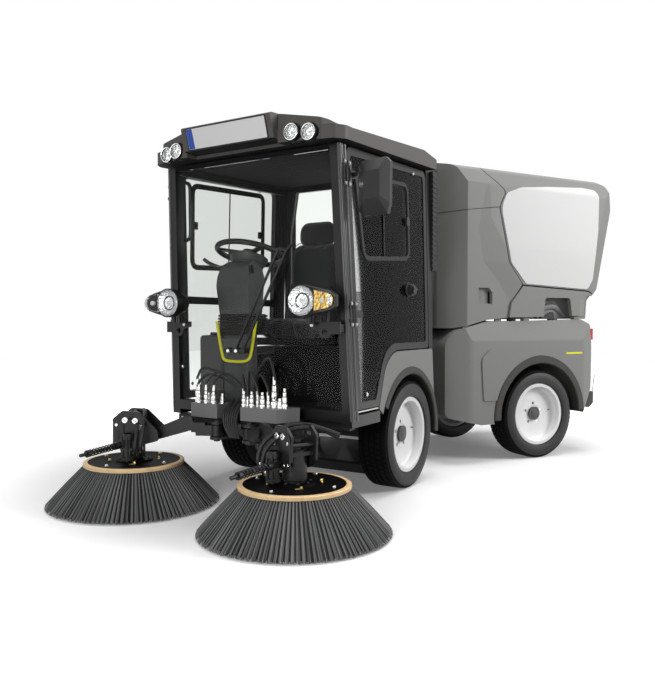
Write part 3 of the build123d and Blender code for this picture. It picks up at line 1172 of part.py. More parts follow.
def tailgate():
    """Flap that fills the container's rear opening, hung from two knuckles at its top edge."""
    inner = [(y - GATE_THICKNESS, z, 0) for y, z, r in BACK_FACE]
    outer = [(y + 60, z, 0) for y, z, r in reversed(BACK_FACE)]
    gap = RUNNING
    window = block((-GATE_HALF + gap, GATE_HALF - gap), (2200, 2700), (GATE_LOW + gap, GATE_HIGH - gap))
    gate = container_form() & side_prism(inner + outer, -BEYOND, BEYOND) & window
    leaf_low = GATE_PIN_Z - 150
    for side in (-1, 1):
        x = side * GATE_HINGE_X
        knuckle = across(x - 30, x + 30, GATE_PIN_Y, GATE_PIN_Z, GATE_KNUCKLE_RADIUS)
        leaf = side_prism([(GATE_PIN_Y - 2, GATE_PIN_Z, 0), (GATE_PIN_Y + 13, GATE_PIN_Z, 0),
                           (back_y(leaf_low) + 10, leaf_low, 0), (back_y(leaf_low) - 6, leaf_low, 0),
                           (back_y(GATE_HIGH - 12) - 6, GATE_HIGH - 12, 0),
                           (GATE_PIN_Y - 6, GATE_HIGH - 4, 0)], x - 30, x + 30)
        gate += knuckle + leaf
        gate -= across(x - 31, x + 31, GATE_PIN_Y, GATE_PIN_Z, GATE_PIN_RADIUS + PIN_GAP)
    return gate


def side_panels():
    """Flat panels that stand 4 mm proud of the container's sides."""
    rows = [(1640, 1252, 30), (1504, 1396, 60), (1418, 1778, 150), (1476, 1884, 60), (1602, 1930, 60),
            (1860, 1958, 200), (2205, 1983, 60), (2348, 1975, 50), (2366, 1919, 40), (2352, 1674, 100),
            (2292, 1297, 60), (2240, 1226, 40)]
    panel = side_prism(rows, 0, BEYOND) & upper_form(-4) - upper_form(0)
    return pair(panel)


def tail_lamps():
    lamp = block((462, 556), (2200, 2352), (848, 932)) - lower_body_form(-SEAT)
    return pair(lamp)


def suction_elbow():
    """Collar over the swivel ring and the elbow into the lower body."""
    collar = upright(0, PIVOT_Y, 721, 800, 128) - upright(0, PIVOT_Y, 720, 780, 112)
    neck = side_prism([(PIVOT_Y, 760, 0), (PIVOT_Y - 60, 830, 40), (985 - SEAT, 850, 0),
                       (985 - SEAT, 740, 0)], -110, 110)
    neck -= upright(0, PIVOT_Y, 700, 780, 112)
    return collar + neck


# ---------------------------------------------------------------------------------------------------
# Assembly: node, piece, place
# ---------------------------------------------------------------------------------------------------
FRONT = Pos(-ORIGIN_X, -ORIGIN_Y, 0)
REAR = FRONT * Pos(0, PIVOT_Y, 0) * Rot(0, 0, ARTICULATION) * Pos(0, -PIVOT_Y, 0)


def save(node, piece, place):
    solids = piece if isinstance(piece, list) else [piece]
    solids = [s for item in solids for s in (place * item).solids()]
    shape = solids[0] if len(solids) == 1 else Compound(solids)
    export_step(shape, f"parts/{node}.step")


def main():
    os.makedirs("parts", exist_ok=True)
    wheels = (            # module, axle y, half track, place
        ("front", 0, FRONT_TRACK_HALF, FRONT),
        ("rear", REAR_AXLE_Y, REAR_TRACK_HALF, REAR),
    )
    for module, y, track, place in wheels:
        for name, shape in (("tyre", tyre()), ("rim", rim())):
            left = Pos(track, y, TYRE_RADIUS) * shape
            save(f"{name}_{module}_left", left, place)
            save(f"{name}_{module}_right", other_side(left), place)
    mirrored = (          # node without side, left piece
        ("door", door_left()),
        ("door_pane", door_pane_left()),
        ("brush_arm", brush_arm_left()),
        ("brush_link", brush_link_left()),
        ("brush_head", brush_head_left()),
        ("brush", brush_left()),
    )
    for name, left in mirrored:
        save(f"{name}_left", left, FRONT)
        save(f"{name}_right", other_side(left), FRONT)
    front = (
        ("front_chassis", front_chassis()),
        ("front_axle", axle(FRONT_TRACK_HALF, RAIL_X, RAIL_LOW)),
        ("cab_frame", cab_frame()),
        ("cab_tub", cab_tub()),
        ("cab_glass", cab_glass()),
        ("cab_roof", cab_roof()),
        ("fenders", fenders()),
        ("front_arch_linings", front_arch_linings()),
        ("seat", seat()),
        ("steering_column", steering_column()),
        ("steering_wheel", steering_wheel()),
        ("headlamps", headlamps()),
        ("work_lights", work_lights()),
        ("manifolds", manifolds()),
        ("wiper", wiper()),
        ("air_duct", air_duct()),
        ("suction_duct", suction_duct()),
        ("suction_mouth", suction_mouth()),
        ("mirror_left", mirror_left()),
    )
    for node, piece in front:
        save(node, piece, FRONT)
    rear = (
        ("rear_chassis", rear_chassis()),
        ("rear_axle", axle(REAR_TRACK_HALF, REAR_RAIL_X, RAIL_LOW)),
        ("lower_body", lower_body()),
        ("rear_arch_linings", rear_arch_linings()),
        ("engine_block", engine_block()),
        ("hood", hood()),
        ("side_skirts", side_skirts()),
        ("container", container()),
        ("tailgate", tailgate()),
        ("side_panels", side_panels()),
        ("tail_lamps", tail_lamps()),
        ("suction_elbow", suction_elbow()),
    )
    for node, piece in rear:
        if node == "rear_axle":
            piece = Pos(0, REAR_AXLE_Y, 0) * piece
        save(node, piece, REAR)


main()
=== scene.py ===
import math
import random

import bmesh
import bpy
from mathutils import Matrix, Vector


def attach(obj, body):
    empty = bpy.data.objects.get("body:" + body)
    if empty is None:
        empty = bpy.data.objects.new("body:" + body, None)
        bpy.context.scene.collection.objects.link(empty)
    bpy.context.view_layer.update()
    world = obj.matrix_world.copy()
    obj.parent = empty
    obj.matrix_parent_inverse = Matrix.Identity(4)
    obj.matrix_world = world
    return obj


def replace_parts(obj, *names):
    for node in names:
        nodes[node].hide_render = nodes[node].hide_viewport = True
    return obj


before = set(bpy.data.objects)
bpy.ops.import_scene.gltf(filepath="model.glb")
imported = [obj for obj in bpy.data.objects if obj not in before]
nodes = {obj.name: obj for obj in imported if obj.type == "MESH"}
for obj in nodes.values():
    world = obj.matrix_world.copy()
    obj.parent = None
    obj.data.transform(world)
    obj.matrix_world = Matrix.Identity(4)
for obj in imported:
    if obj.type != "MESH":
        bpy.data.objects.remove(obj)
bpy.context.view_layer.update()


# ---------------------------------------------------------------------------------------------------
# Welded chassis, axles and pivot: black powder-coated steel.  The coat is smooth with a faint orange
# peel, a little duller where road dust settles low down.
# ---------------------------------------------------------------------------------------------------
def new_group(name, inputs, outputs):
    """Empty shader node group; inputs and outputs are rows of (name, socket type, default)."""
    group = bpy.data.node_groups.new(name, "ShaderNodeTree")
    for direction, rows in (("INPUT", inputs), ("OUTPUT", outputs)):
        for label, kind, default in rows:
            socket = group.interface.new_socket(label, in_out=direction, socket_type=f"NodeSocket{kind}")
            if default is not None:
                socket.default_value = default
    return group, group.nodes.new("NodeGroupInput"), group.nodes.new("NodeGroupOutput")


def add_node(tree, kind, sockets, **settings):
    """Shader node with its own settings; sockets gives a value or a link to each input, by name or number."""
    node = tree.nodes.new(f"ShaderNode{kind}")
    for setting, value in settings.items():
        setattr(node, setting, value)
    for label, value in sockets.items():
        if isinstance(value, bpy.types.NodeSocket):
            tree.links.new(value, node.inputs[label])
        else:
            node.inputs[label].default_value = value
    return node


def surface_grain_group():
    """Colour, roughness and height that vary finely over a moulded or painted surface."""
    group, given, result = new_group(
        "surface_grain",
        [("Colour", "Color", (0.5, 0.5, 0.5, 1)), ("Colour Shift", "Float", 0.1), ("Roughness", "Float", 0.5),
         ("Roughness Shift", "Float", 0.1), ("Grain Scale", "Float", 400.0), ("Patch Scale", "Float", 5.0)],
        [("Colour", "Color", None), ("Roughness", "Float", None), ("Height", "Float", None)])
    place = add_node(group, "TexCoord", {}).outputs["Object"]
    grain = add_node(group, "TexNoise", {"Vector": place, "Scale": given.outputs["Grain Scale"], "Detail": 3})
    patch = add_node(group, "TexNoise", {"Vector": place, "Scale": given.outputs["Patch Scale"], "Detail": 5})
    centred = add_node(group, "Math", {0: patch.outputs["Fac"], 1: 0.5}, operation="SUBTRACT")
    tone = add_node(group, "Math", {0: centred.outputs[0], 1: given.outputs["Colour Shift"], 2: 1.0},
                    operation="MULTIPLY_ADD")
    tint = add_node(group, "VectorMath", {0: given.outputs["Colour"], "Scale": tone.outputs[0]},
                    operation="SCALE")
    rough = add_node(group, "Math", {0: centred.outputs[0], 1: given.outputs["Roughness Shift"],
                                     2: given.outputs["Roughness"]}, operation="MULTIPLY_ADD", use_clamp=True)
    group.links.new(tint.outputs[0], result.inputs["Colour"])
    group.links.new(rough.outputs[0], result.inputs["Roughness"])
    group.links.new(grain.outputs["Fac"], result.inputs["Height"])
    return group


def road_dust_group():
    """Pale dust that fades out with height above the road."""
    group, given, result = new_group(
        "road_dust",
        [("Colour", "Color", (0.5, 0.5, 0.5, 1)), ("Roughness", "Float", 0.5),
         ("Dust", "Color", (0.16, 0.15, 0.135, 1)), ("Amount", "Float", 0.3), ("Top Height", "Float", 0.7)],
        [("Colour", "Color", None), ("Roughness", "Float", None)])
    place = add_node(group, "TexCoord", {}).outputs["Object"]
    split = add_node(group, "SeparateXYZ", {0: place})
    fade = add_node(group, "MapRange", {"Value": split.outputs["Z"], "From Min": 0.0,
                                        "From Max": given.outputs["Top Height"],
                                        "To Min": 1.0, "To Max": 0.0})
    cloud = add_node(group, "TexNoise", {"Vector": place, "Scale": 9, "Detail": 8})
    patchy = add_node(group, "Math", {0: fade.outputs[0], 1: cloud.outputs["Fac"]}, operation="MULTIPLY")
    mask = add_node(group, "Math", {0: patchy.outputs[0], 1: given.outputs["Amount"]},
                    operation="MULTIPLY", use_clamp=True)
    blend = add_node(group, "Mix", {"Factor": mask.outputs[0], "A": given.outputs["Colour"],
                                    "B": given.outputs["Dust"]}, data_type="RGBA")
    duller = add_node(group, "Math", {0: mask.outputs[0], 1: 0.4, 2: given.outputs["Roughness"]},
                      operation="MULTIPLY_ADD", use_clamp=True)
    group.links.new(blend.outputs["Result"], result.inputs["Colour"])
    group.links.new(duller.outputs[0], result.inputs["Roughness"])
    return group


SURFACE_GRAIN = surface_grain_group()
ROAD_DUST = road_dust_group()


def finish(name, colour, roughness, *, metallic=0.0, shift=0.1, rough_shift=0.12, grain=400.0, depth=0.02,
           patch=5.0, dust=0.0, dust_top=0.7, coat=0.0, coat_roughness=0.1, specular=0.25):
    """Opaque material with grain, and with road dust where it has any."""
    material = bpy.data.materials.new(name)
    material.use_nodes = True
    tree = material.node_tree
    shader = tree.nodes["Principled BSDF"]
    shader.inputs["Metallic"].default_value = metallic
    shader.inputs["Coat Weight"].default_value = coat
    shader.inputs["Coat Roughness"].default_value = coat_roughness
    shader.inputs["Specular IOR Level"].default_value = specular
    surface = tree.nodes.new("ShaderNodeGroup")
    surface.node_tree = SURFACE_GRAIN
    surface.inputs["Colour"].default_value = (*colour, 1)
    surface.inputs["Colour Shift"].default_value = shift
    surface.inputs["Roughness"].default_value = roughness
    surface.inputs["Roughness Shift"].default_value = rough_shift
    surface.inputs["Grain Scale"].default_value = grain
    surface.inputs["Patch Scale"].default_value = patch
    bump = tree.nodes.new("ShaderNodeBump")
    bump.inputs["Strength"].default_value = 0.5
    bump.inputs["Distance"].default_value = depth / 100
    tree.links.new(surface.outputs["Height"], bump.inputs["Height"])
    tree.links.new(bump.outputs["Normal"], shader.inputs["Normal"])
    last = surface
    if dust:
        last = tree.nodes.new("ShaderNodeGroup")
        last.node_tree = ROAD_DUST
        last.inputs["Amount"].default_value = dust
        last.inputs["Top Height"].default_value = dust_top
        tree.links.new(surface.outputs["Colour"], last.inputs["Colour"])
        tree.links.new(surface.outputs["Roughness"], last.inputs["Roughness"])
    tree.links.new(last.outputs["Colour"], shader.inputs["Base Color"])
    tree.links.new(last.outputs["Roughness"], shader.inputs["Roughness"])
    return material


def dress(material, *names):
    """Puts one material on whole CAD nodes."""
    for name in names:
        mesh = nodes[name].data
        mesh.materials.clear()
        mesh.materials.append(material)


# Places are measured in metres from the ground under the front axle's middle.  The rear module is
# measured as it stands straight, and REAR turns it about the kingpin.
KINGPIN = Vector((0, 0.83, 0))
FRONT = Matrix.Translation((-0.188, -0.506, 0))
REAR = FRONT @ Matrix.Translation(KINGPIN) @ Matrix.Rotation(math.radians(-31.5), 4,
                                                             "Z") @ Matrix.Translation(-KINGPIN)


def tube(points, radius, sides=10):
    """Round bar or hose along points; radius is one value, or one for each point."""
    points = [Vector(point) for point in points]
    radii = radius if isinstance(radius, list) else [radius] * len(points)
    ways = [(after - before).normalized() for before, after in zip(points, points[1:])]
    heads = [ways[0]] + [(one + two).normalized() for one, two in zip(ways, ways[1:])] + [ways[-1]]
    side = heads[0].orthogonal()
    verts = []
    for point, way, reach in zip(points, heads, radii):
        side = (side - way * side.dot(way)).normalized()
        up = way.cross(side)
        for k in range(sides):
            turn = 2 * math.pi * k / sides
            verts.append(point + (side * math.cos(turn) + up * math.sin(turn)) * reach)
    last = (len(points) - 1) * sides
    faces = [tuple(range(sides)), tuple(range(last, last + sides))]
    for start in range(0, last, sides):
        for k in range(sides):
            a = start + k
            b = start + (k + 1) % sides
            faces.append((a, b, b + sides, a + sides))
    return verts, faces


def lathe(profile, sides=32, closed=False):
    """Turned form about Z from rows of (radius, height)."""
    verts = []
    rings = []
    for radius, height in profile:
        count = sides if radius else 1
        rings.append(range(len(verts), len(verts) + count))
        for k in range(count):
            turn = 2 * math.pi * k / sides
            verts.append(Vector((radius * math.cos(turn), radius * math.sin(turn), height)))
    if closed:
        rings.append(rings[0])
    faces = []
    for low, high in zip(rings, rings[1:]):
        for k in range(sides):
            face = (low[k % len(low)], low[(k + 1) % len(low)], high[(k + 1) % len(high)],
                    high[k % len(high)])
            faces.append(tuple(dict.fromkeys(face)))
    return verts, [face for face in faces if len(face) > 2]


def rounded(width, height, radius, steps=5):
    """Outline of a rectangle with round corners about the origin."""
    outline = []
    for corner, (side_x, side_y) in enumerate(((1, 1), (-1, 1), (-1, -1), (1, -1))):
        for k in range(steps + 1):
            turn = math.radians(90 * corner + 90 * k / steps)
            outline.append((side_x * (width / 2 - radius) + radius * math.cos(turn),
                            side_y * (height / 2 - radius) + radius * math.sin(turn)))
    return outline


def shrunk(outline, amount):
    """Outline moved inward all round; it runs anticlockwise."""
    result = []
    for k, point in enumerate(outline):
        here = Vector(point)
        before = (here - Vector(outline[k - 1])).normalized()
        after = (Vector(outline[(k + 1) % len(outline)]) - here).normalized()
        inward = Vector((-before.y, before.x))
        corner = inward + Vector((-after.y, after.x))
        result.append(here + corner * amount / max(corner.dot(inward), 0.3))
    return result


def slab(outline, thickness, edge=0.001):
    """Plate with chamfered rims, from an outline in X and Y, up from z = 0."""
    turn = sum(x * v - u * y for (x, y), (u, v) in zip(outline, outline[1:] + outline[:1]))
    outline = outline if turn > 0 else outline[::-1]
    small = shrunk(outline, edge)
    count = len(outline)
    verts = []
    for ring, height in ((small, 0), (outline, edge), (outline, thickness - edge), (small, thickness)):
        verts += [Vector((x, y, height)) for x, y in ring]
    faces = [tuple(range(count)), tuple(range(3 * count, 4 * count))]
    for start in range(0, 3 * count, count):
        for k in range(count):
            a = start + k
            b = start + (k + 1) % count
            faces.append((a, b, b + count, a + count))
    return verts, faces


def frame_ring(outline, width, thickness, edge=0.002):
    """Flat frame of a width inside an outline, up from z = 0, with chamfered edges."""
    rings = ((0, 0), (0, thickness - edge), (edge, thickness), (width - edge, thickness),
             (width, thickness - edge), (width, 0))
    verts = []
    for inset, height in rings:
        verts += [Vector((x, y, height)) for x, y in shrunk(outline, inset)]
    count = len(outline)
    faces = []
    for ring in range(len(rings)):
        start = ring * count
        following = (ring + 1) % len(rings) * count
        for k in range(count):
            after = (k + 1) % count
            faces.append((start + k, start + after, following + after, following + k))
    return verts, faces


def moved(shape, place):
    verts, faces = shape
    return [place @ vert for vert in verts], faces


def mirrored(parts):
    """The same parts on the other side of the machine."""
    return [(([Vector((-v.x, v.y, v.z)) for v in verts], faces), material) for (verts, faces),
            material in parts]


def facing(origin, normal, right=(1, 0, 0)):
    """Place whose Z runs along a normal and whose X is as near to right as it can be."""
    up = Vector(normal).normalized()
    across = (Vector(right) - up * up.dot(Vector(right))).normalized()
    turn = Matrix((across, up.cross(across), up)).transposed().to_4x4()
    return Matrix.Translation(origin) @ turn


def smooth_path(points, steps=6):
    """Points along a soft curve through the given ones."""
    points = [Vector(point) for point in points]
    full = [points[0] * 2 - points[1]] + points + [points[-1] * 2 - points[-2]]
    path = []
    for a, b, c, d in zip(full, full[1:], full[2:], full[3:]):
        for k in range(steps):
            t = k / steps
            path.append(0.5 * (2 * b + (c - a) * t + (2 * a - 5 * b + 4 * c - d) * t ** 2
                               + (3 * b - a - 3 * c + d) * t ** 3))
    return path + [points[-1]]


def bolt(radius, height, sides=6):
    """Bolt head on a washer, standing on z = 0."""
    washer = lathe([(0, 0), (radius * 1.35, 0), (radius * 1.35, height * 0.2), (radius, height * 0.2)], 18)
    head = lathe([(radius, height * 0.2), (radius, height * 0.85), (radius * 0.85, height), (0, height)],
                 sides)
    verts = washer[0] + head[0]
    return verts, washer[1] + [tuple(i + len(washer[0]) for i in face) for face in head[1]]


def piece(name, parts, body, place=FRONT, sharp=38):
    """One object from ((vertices, faces), material) parts, riding a body."""
    mesh = bpy.data.meshes.new(name)
    build = bmesh.new()
    for (verts, faces), material in parts:
        if material.name not in mesh.materials:
            mesh.materials.append(material)
        number = mesh.materials.find(material.name)
        made = [build.verts.new(place @ vert) for vert in verts]
        for face in faces:
            build.faces.new([made[i] for i in face]).material_index = number
    bmesh.ops.recalc_face_normals(build, faces=build.faces)
    for face in build.faces:
        face.smooth = True
    for edge in build.edges:
        edge.smooth = edge.is_manifold and edge.calc_face_angle(0) < math.radians(sharp)
    build.to_mesh(mesh)
    build.free()
    made = bpy.data.objects.new(name, mesh)
    bpy.context.scene.collection.objects.link(made)
    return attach(made, body) or made


def bolts(places, normal, radius, height, material):
    """Bolt heads at several places on one face."""
    return [(moved(bolt(radius, height), facing(place, normal, (0.3, 0.7, 0.9))), material)
            for place in places]


black_coat = finish("black_powder_coat", (0.014, 0.014, 0.015), 0.38, shift=0.3, grain=900, dust=0.35,
                    coat=0.1)
zinc = finish("zinc_plate", (0.62, 0.62, 0.6), 0.25, metallic=1.0, shift=0.12, grain=900)
dress(black_coat, "front_chassis", "rear_chassis", "front_axle", "rear_axle", "suction_mouth",
      "suction_elbow", "engine_block")
CLEVIS = ((0.076, -0.855, 0.457), (0.144, -0.855, 0.457), (-0.076, -0.855, 0.457), (-0.144, -0.855, 0.457))
piece("clevis_bolts", bolts(CLEVIS, (0, 0, 1), 0.008, 0.008, zinc), "front_module")
BEAM_BOLTS = [(x, -0.856, z) for x in (-0.40, -0.34, 0.37, 0.41) for z in (0.395, 0.44)]
piece("beam_bolts", bolts(BEAM_BOLTS, (0, -1, 0), 0.008, 0.007, zinc), "front_module")

# ---------------------------------------------------------------------------------------------------
# Brush hydraulics: folded steel boxes carry plated quick couplings, and rubber hoses with swaged steel
# ends rise from them and loop back under the cab floor.  All of them are clamped at both ends.
# ---------------------------------------------------------------------------------------------------
box_grey = finish("grey_box_paint", (0.22, 0.22, 0.218), 0.5, shift=0.08, grain=800, specular=0.3)
plated = finish("bright_plating", (0.74, 0.74, 0.73), 0.18, metallic=1.0, shift=0.05, grain=900,
                depth=0.005)
hose_rubber = finish("hose_rubber", (0.022, 0.023, 0.022), 0.45, shift=0.2, grain=1500, depth=0.03)
dress(box_grey, "manifolds")


def paint(name, material, wanted):
    """Gives a material to the faces of a CAD node that wanted picks by middle and normal."""
    mesh = nodes[name].data
    mesh.materials.append(material)
    number = len(mesh.materials) - 1
    back = FRONT.inverted()
    for face in mesh.polygons:
        if wanted(back @ face.center, face.normal):
            face.material_index = number


BOX_TOP = 0.5345
ROW_MIDDLE = -0.853
ROW_HALF = 0.033
paint("manifolds", plated, lambda place, normal: place.z > BOX_TOP and abs(place.y - ROW_MIDDLE) < ROW_HALF)
COUPLING_HEIGHT = 0.088
COUPLING = [(0, 0), (0.0125, 0), (0.0125, 0.022), (0.0105, 0.024), (0.0105, 0.031), (0.0125, 0.033),
            (0.0125, 0.05), (0.009, 0.054), (0.009, 0.07), (0.0065, 0.073), (0.0065, COUPLING_HEIGHT),
            (0, COUPLING_HEIGHT)]
COLLAR = [(0.012, 0.012), (0.0145, 0.012), (0.0145, 0.018), (0.012, 0.018)]
# height and radius of the dark seal rings on each coupling
SEAL_RINGS = ((0.0225, 0.0118), (0.051, 0.0118), (0.071, 0.0092))
SEAL_DEPTH = 0.002
SEAL_HEIGHT = 0.0025
# x, y and foot height of each coupling, its size, and the top of its hose's loop (None where it is capped)
COUPLINGS = (
    (-0.286, -0.858, 0.536, 1.25, (-0.245, -0.835, 0.725)),
    (-0.246, -0.892, 0.536, 0.95, (-0.20, -0.85, 0.69)),
    (-0.196, -0.892, 0.536, 0.95, (-0.14, -0.85, 0.705)),
    (-0.142, -0.892, 0.536, 0.95, (-0.10, -0.85, 0.70)),
    (0.056, -0.885, 0.532, 0.9, (0.02, -0.85, 0.70)),
    (0.108, -0.885, 0.532, 0.95, None),
    (0.128, -0.862, 0.532, 0.75, (0.06, -0.84, 0.72)),
    (0.176, -0.885, 0.532, 0.95, None),
    (0.196, -0.862, 0.532, 0.75, (0.12, -0.83, 0.70)),
    (0.226, -0.85, 0.532, 1.65, (0.165, -0.82, 0.79)),
    (0.284, -0.84, 0.532, 1.2, None),
)
LOOP_HOSE = 0.0068
HOSE_END = 0.0088
couplings = []
hoses = []
for number, (x, y, foot, size, loop) in enumerate(COUPLINGS):
    stand = Matrix.Translation((x, y, foot)) @ Matrix.Diagonal((size ** 0.5, size ** 0.5, size, 1))
    couplings.append((moved(lathe(COUPLING, 18), stand), plated))
    couplings.append((moved(lathe(COLLAR, 6, closed=True), stand), plated))
    for low, radius in SEAL_RINGS:
        inner = radius - SEAL_DEPTH
        high = low + SEAL_HEIGHT
        ring = lathe([(inner, low), (radius, low), (radius, high), (inner, high)], 18, closed=True)
        couplings.append((moved(ring, stand), hose_rubber))
    if loop:
        top = foot + COUPLING_HEIGHT * size
        sink = -0.06 + 0.014 * number
        route = [(x, y, top - 0.01), (x, y, top + 0.03), loop, (sink, -0.80, top),
                 (sink * 0.8, -0.795, 0.50), (sink * 0.8, -0.80, 0.43)]
        hoses.append((tube(smooth_path(route, 8), LOOP_HOSE, 8), hose_rubber))
        hoses.append((tube([(x, y, top - 0.012), (x, y, top + 0.018)], HOSE_END, 12), plated))
piece("quick_couplings", couplings, "front_module")
piece("coupling_hoses", hoses, "front_module")
# hoses in a bundle that hang down between the boxes, and the hoses that run to the left brush arm's clevis
HANGING_HOSES = 7
ARM_HOSES = 4
bundle = []
for k in range(HANGING_HOSES):
    x = -0.085 + 0.017 * k
    route = [(x, -0.80 - 0.012 * (k % 2), 0.56), (x * 0.9, -0.88, 0.50), (x * 0.8, -0.895, 0.43),
             (x * 0.6 + 0.02, -0.89, 0.365)]
    bundle.append((tube(smooth_path(route, 8), 0.007, 8), hose_rubber))
for k in range(ARM_HOSES):
    route = [(0.012 * k, -0.885, 0.44), (0.05, -0.895, 0.385 + 0.008 * k), (0.16, -0.89, 0.352 + 0.012 * k),
             (0.29, -0.885, 0.36 + 0.012 * k), (0.40, -0.875, 0.40)]
    bundle.append((tube(smooth_path(route, 8), 0.0075, 8), hose_rubber))
piece("hose_bundle", bundle, "front_module")

# ---------------------------------------------------------------------------------------------------
# Cab frame: ribbed pillars of rolled steel section in glossy black powder coat.  Each door hangs on two
# hinge straps, which are held to the pillar by two screws each.
# ---------------------------------------------------------------------------------------------------
gloss_black = finish("gloss_black_coat", (0.007, 0.007, 0.008), 0.35, shift=0.2, grain=700, depth=0.01,
                     coat=0.1, specular=0.3)
# the pillars' black coat lightened to grey: painted highlight along the round ribs, shared by the hinge
# plates
rib_black_painted_sheen = finish("rib_coat_painted_sheen", (0.085, 0.087, 0.09), 0.3, shift=0.2, grain=700, depth=0.01, coat=0.4)
dress(gloss_black, "cab_frame", "door_left", "door_right")
SILL = Vector((0.607, -0.714, 0.514))
PILLAR_HEAD = Vector((0.571, -0.788, 1.874))
RIB_FOOT = 0.475
RIB_HEAD = 1.862
HINGES = (("low", 1.018), ("high", 1.725))
STRAP_SCREWS = (-0.052, 0.052)


def on_pillar(z, back=0.0, out=0.0):
    """Point on the outer face of the left windscreen pillar at a height, behind its front edge."""
    share = (z - SILL.z) / (PILLAR_HEAD.z - SILL.z)
    place = SILL.lerp(PILLAR_HEAD, share)
    return place + Vector((out, back, 0))


SIDE_NORMAL = Vector((0.99965, 0, 0.02646))
SIDE_SLOPE = 0.02647
ribs = []
# each rib's place behind the pillar's front edge, out from its face, radius and sides
for back, out, radius, sides in ((0.008, 0, 0.008, 14), (0.026, 0, 0.007, 14), (0.048, 0, 0.0105, 14),
                                 (0, -0.006, 0.006, 12)):
    ribs.append((tube([on_pillar(RIB_FOOT, back, out), on_pillar(RIB_HEAD, back, out)], radius, sides),
                 rib_black_painted_sheen))
piece("pillar_ribs_left", ribs, "front_module")
piece("pillar_ribs_right", mirrored(ribs), "front_module")
for label, z in HINGES:
    plate = facing(on_pillar(z, 0.032, 0.004), SIDE_NORMAL, (0, 1, 0))
    parts = [(moved(slab(rounded(0.026, 0.132, 0.004), 0.009), plate), rib_black_painted_sheen)]
    screws = [on_pillar(z + rise, 0.032, 0.013) for rise in STRAP_SCREWS]
    parts += bolts(screws, SIDE_NORMAL, 0.0055, 0.004, zinc)
    piece(f"hinge_strap_{label}_left", parts, "front_module")
    piece(f"hinge_strap_{label}_right", mirrored(parts), "front_module")
INNER_BOLTS = [(side * 0.548, -0.7, 0.715) for side in (-1, 1)]
piece("pillar_plugs", bolts(INNER_BOLTS, (0, -1, 0.05), 0.009, 0.006, zinc), "front_module")

# ---------------------------------------------------------------------------------------------------
# Glass: tinted safety panes glued into black rubber.  Each door has a sliding window in a moulded
# frame, and the left one shows its round latch.
# ---------------------------------------------------------------------------------------------------
def pane(name, tint, ior=1.14, roughness=0.02):
    """Thin glass: light passes straight through both faces, and the surface mirrors by Fresnel."""
    material = bpy.data.materials.new(name)
    material.use_nodes = True
    tree = material.node_tree
    tree.nodes.clear()
    through = add_node(tree, "BsdfTransparent", {"Color": (*tint, 1)})
    gloss = add_node(tree, "BsdfGlossy", {"Roughness": roughness})
    fresnel = add_node(tree, "Fresnel", {"IOR": ior})
    mix = add_node(tree, "MixShader", {0: fresnel.outputs[0], 1: through.outputs[0], 2: gloss.outputs[0]})
    add_node(tree, "OutputMaterial", {"Surface": mix.outputs[0]})
    return material


clear_pane = pane("windscreen_glass", (0.98, 0.98 * 1.01, 0.98))
door_glass = pane("door_glass", (0.85, 0.85 * 1.01, 0.85))
seal_rubber = finish("seal_rubber", (0.012, 0.012, 0.012), 0.5, shift=0.2, grain=900)
knob_plastic = finish("knob_plastic", (0.02, 0.02, 0.021), 0.32, shift=0.15, grain=600, coat=0.2)
dress(clear_pane, "cab_glass")
dress(door_glass, "door_pane_left", "door_pane_right")
LATCH_HEIGHT = 1.167
LATCH_HALF = 0.036


def on_knob(place, normal):
    """Whether a face of a door's pane belongs to the round latch that stands out of the glass."""
    near = abs(place.y) < LATCH_HALF and abs(place.z - LATCH_HEIGHT) < LATCH_HALF
    return near and (abs(place.x) > 0.5875 or abs(place.x) < 0.579)


for side in ("left", "right"):
    paint(f"door_pane_{side}", knob_plastic, on_knob)


def on_side(y, z, out=0.0):
    """Point on the outer face of the left door's plane."""
    return Vector((SILL.x - (z - SILL.z) * SIDE_SLOPE + out, y, z))


# corners of each door's sliding window, y and z, from its front top corner round to its front foot
WINDOW_LEFT = ((-0.640, 1.758), (0.012, 1.792), (0.018, 1.340), (-0.556, 1.296))
WINDOW_RIGHT = ((-0.600, 1.812), (0.140, 1.855), (0.146, 1.320), (-0.590, 1.290))


def soft_corners(corners, radius, steps=5):
    """Outline whose corners are rounded by quadratic curves."""
    outline = []
    for k, corner in enumerate(corners):
        here = Vector(corner)
        start = here + (Vector(corners[k - 1]) - here).normalized() * radius
        end = here + (Vector(corners[(k + 1) % len(corners)]) - here).normalized() * radius
        for step in range(steps + 1):
            t = step / steps
            outline.append(tuple((1 - t) ** 2 * start + 2 * t * (1 - t) * here + t ** 2 * end))
    return outline


def window_frame(corners, width, clips):
    """Rubber frame of a sliding window with its track, its clips and the latch below it."""
    slide = soft_corners([(y, (z - SILL.z) / SIDE_NORMAL.x) for y, z in corners][::-1], 0.07, 7)
    rubber = facing(on_side(0, SILL.z, -0.006), SIDE_NORMAL, (0, 1, 0))
    parts = [(moved(frame_ring(slide, width, 0.009), rubber), seal_rubber)]
    middle = (corners[0][0] + corners[1][0]) / 2
    track = [on_side(middle, corners[3][1] + 0.02, -0.001), on_side(middle, corners[0][1] + 0.014, -0.001)]
    parts.append((tube(track, 0.004, 8), seal_rubber))
    for y, z in clips:
        clip = facing(on_side(y, z, -0.002), SIDE_NORMAL, (0, 1, 0))
        parts.append((moved(slab(rounded(0.034, 0.046, 0.004), 0.014), clip), knob_plastic))
    latch_ring = [(0.03, 0), (0.044, 0), (0.044, 0.006), (0.038, 0.011), (0.036, 0.011), (0.035, 0.006),
                  (0.03, 0.005)]
    latch = facing(on_side(0, LATCH_HEIGHT, -0.006), SIDE_NORMAL, (0, 1, 0))
    lever = latch @ Matrix.Translation((0, 0, 0.042))
    parts.append((moved(lathe(latch_ring, 36, closed=True), latch), seal_rubber))
    parts.append((moved(slab(rounded(0.05, 0.012, 0.005), 0.008), lever), knob_plastic))
    return parts


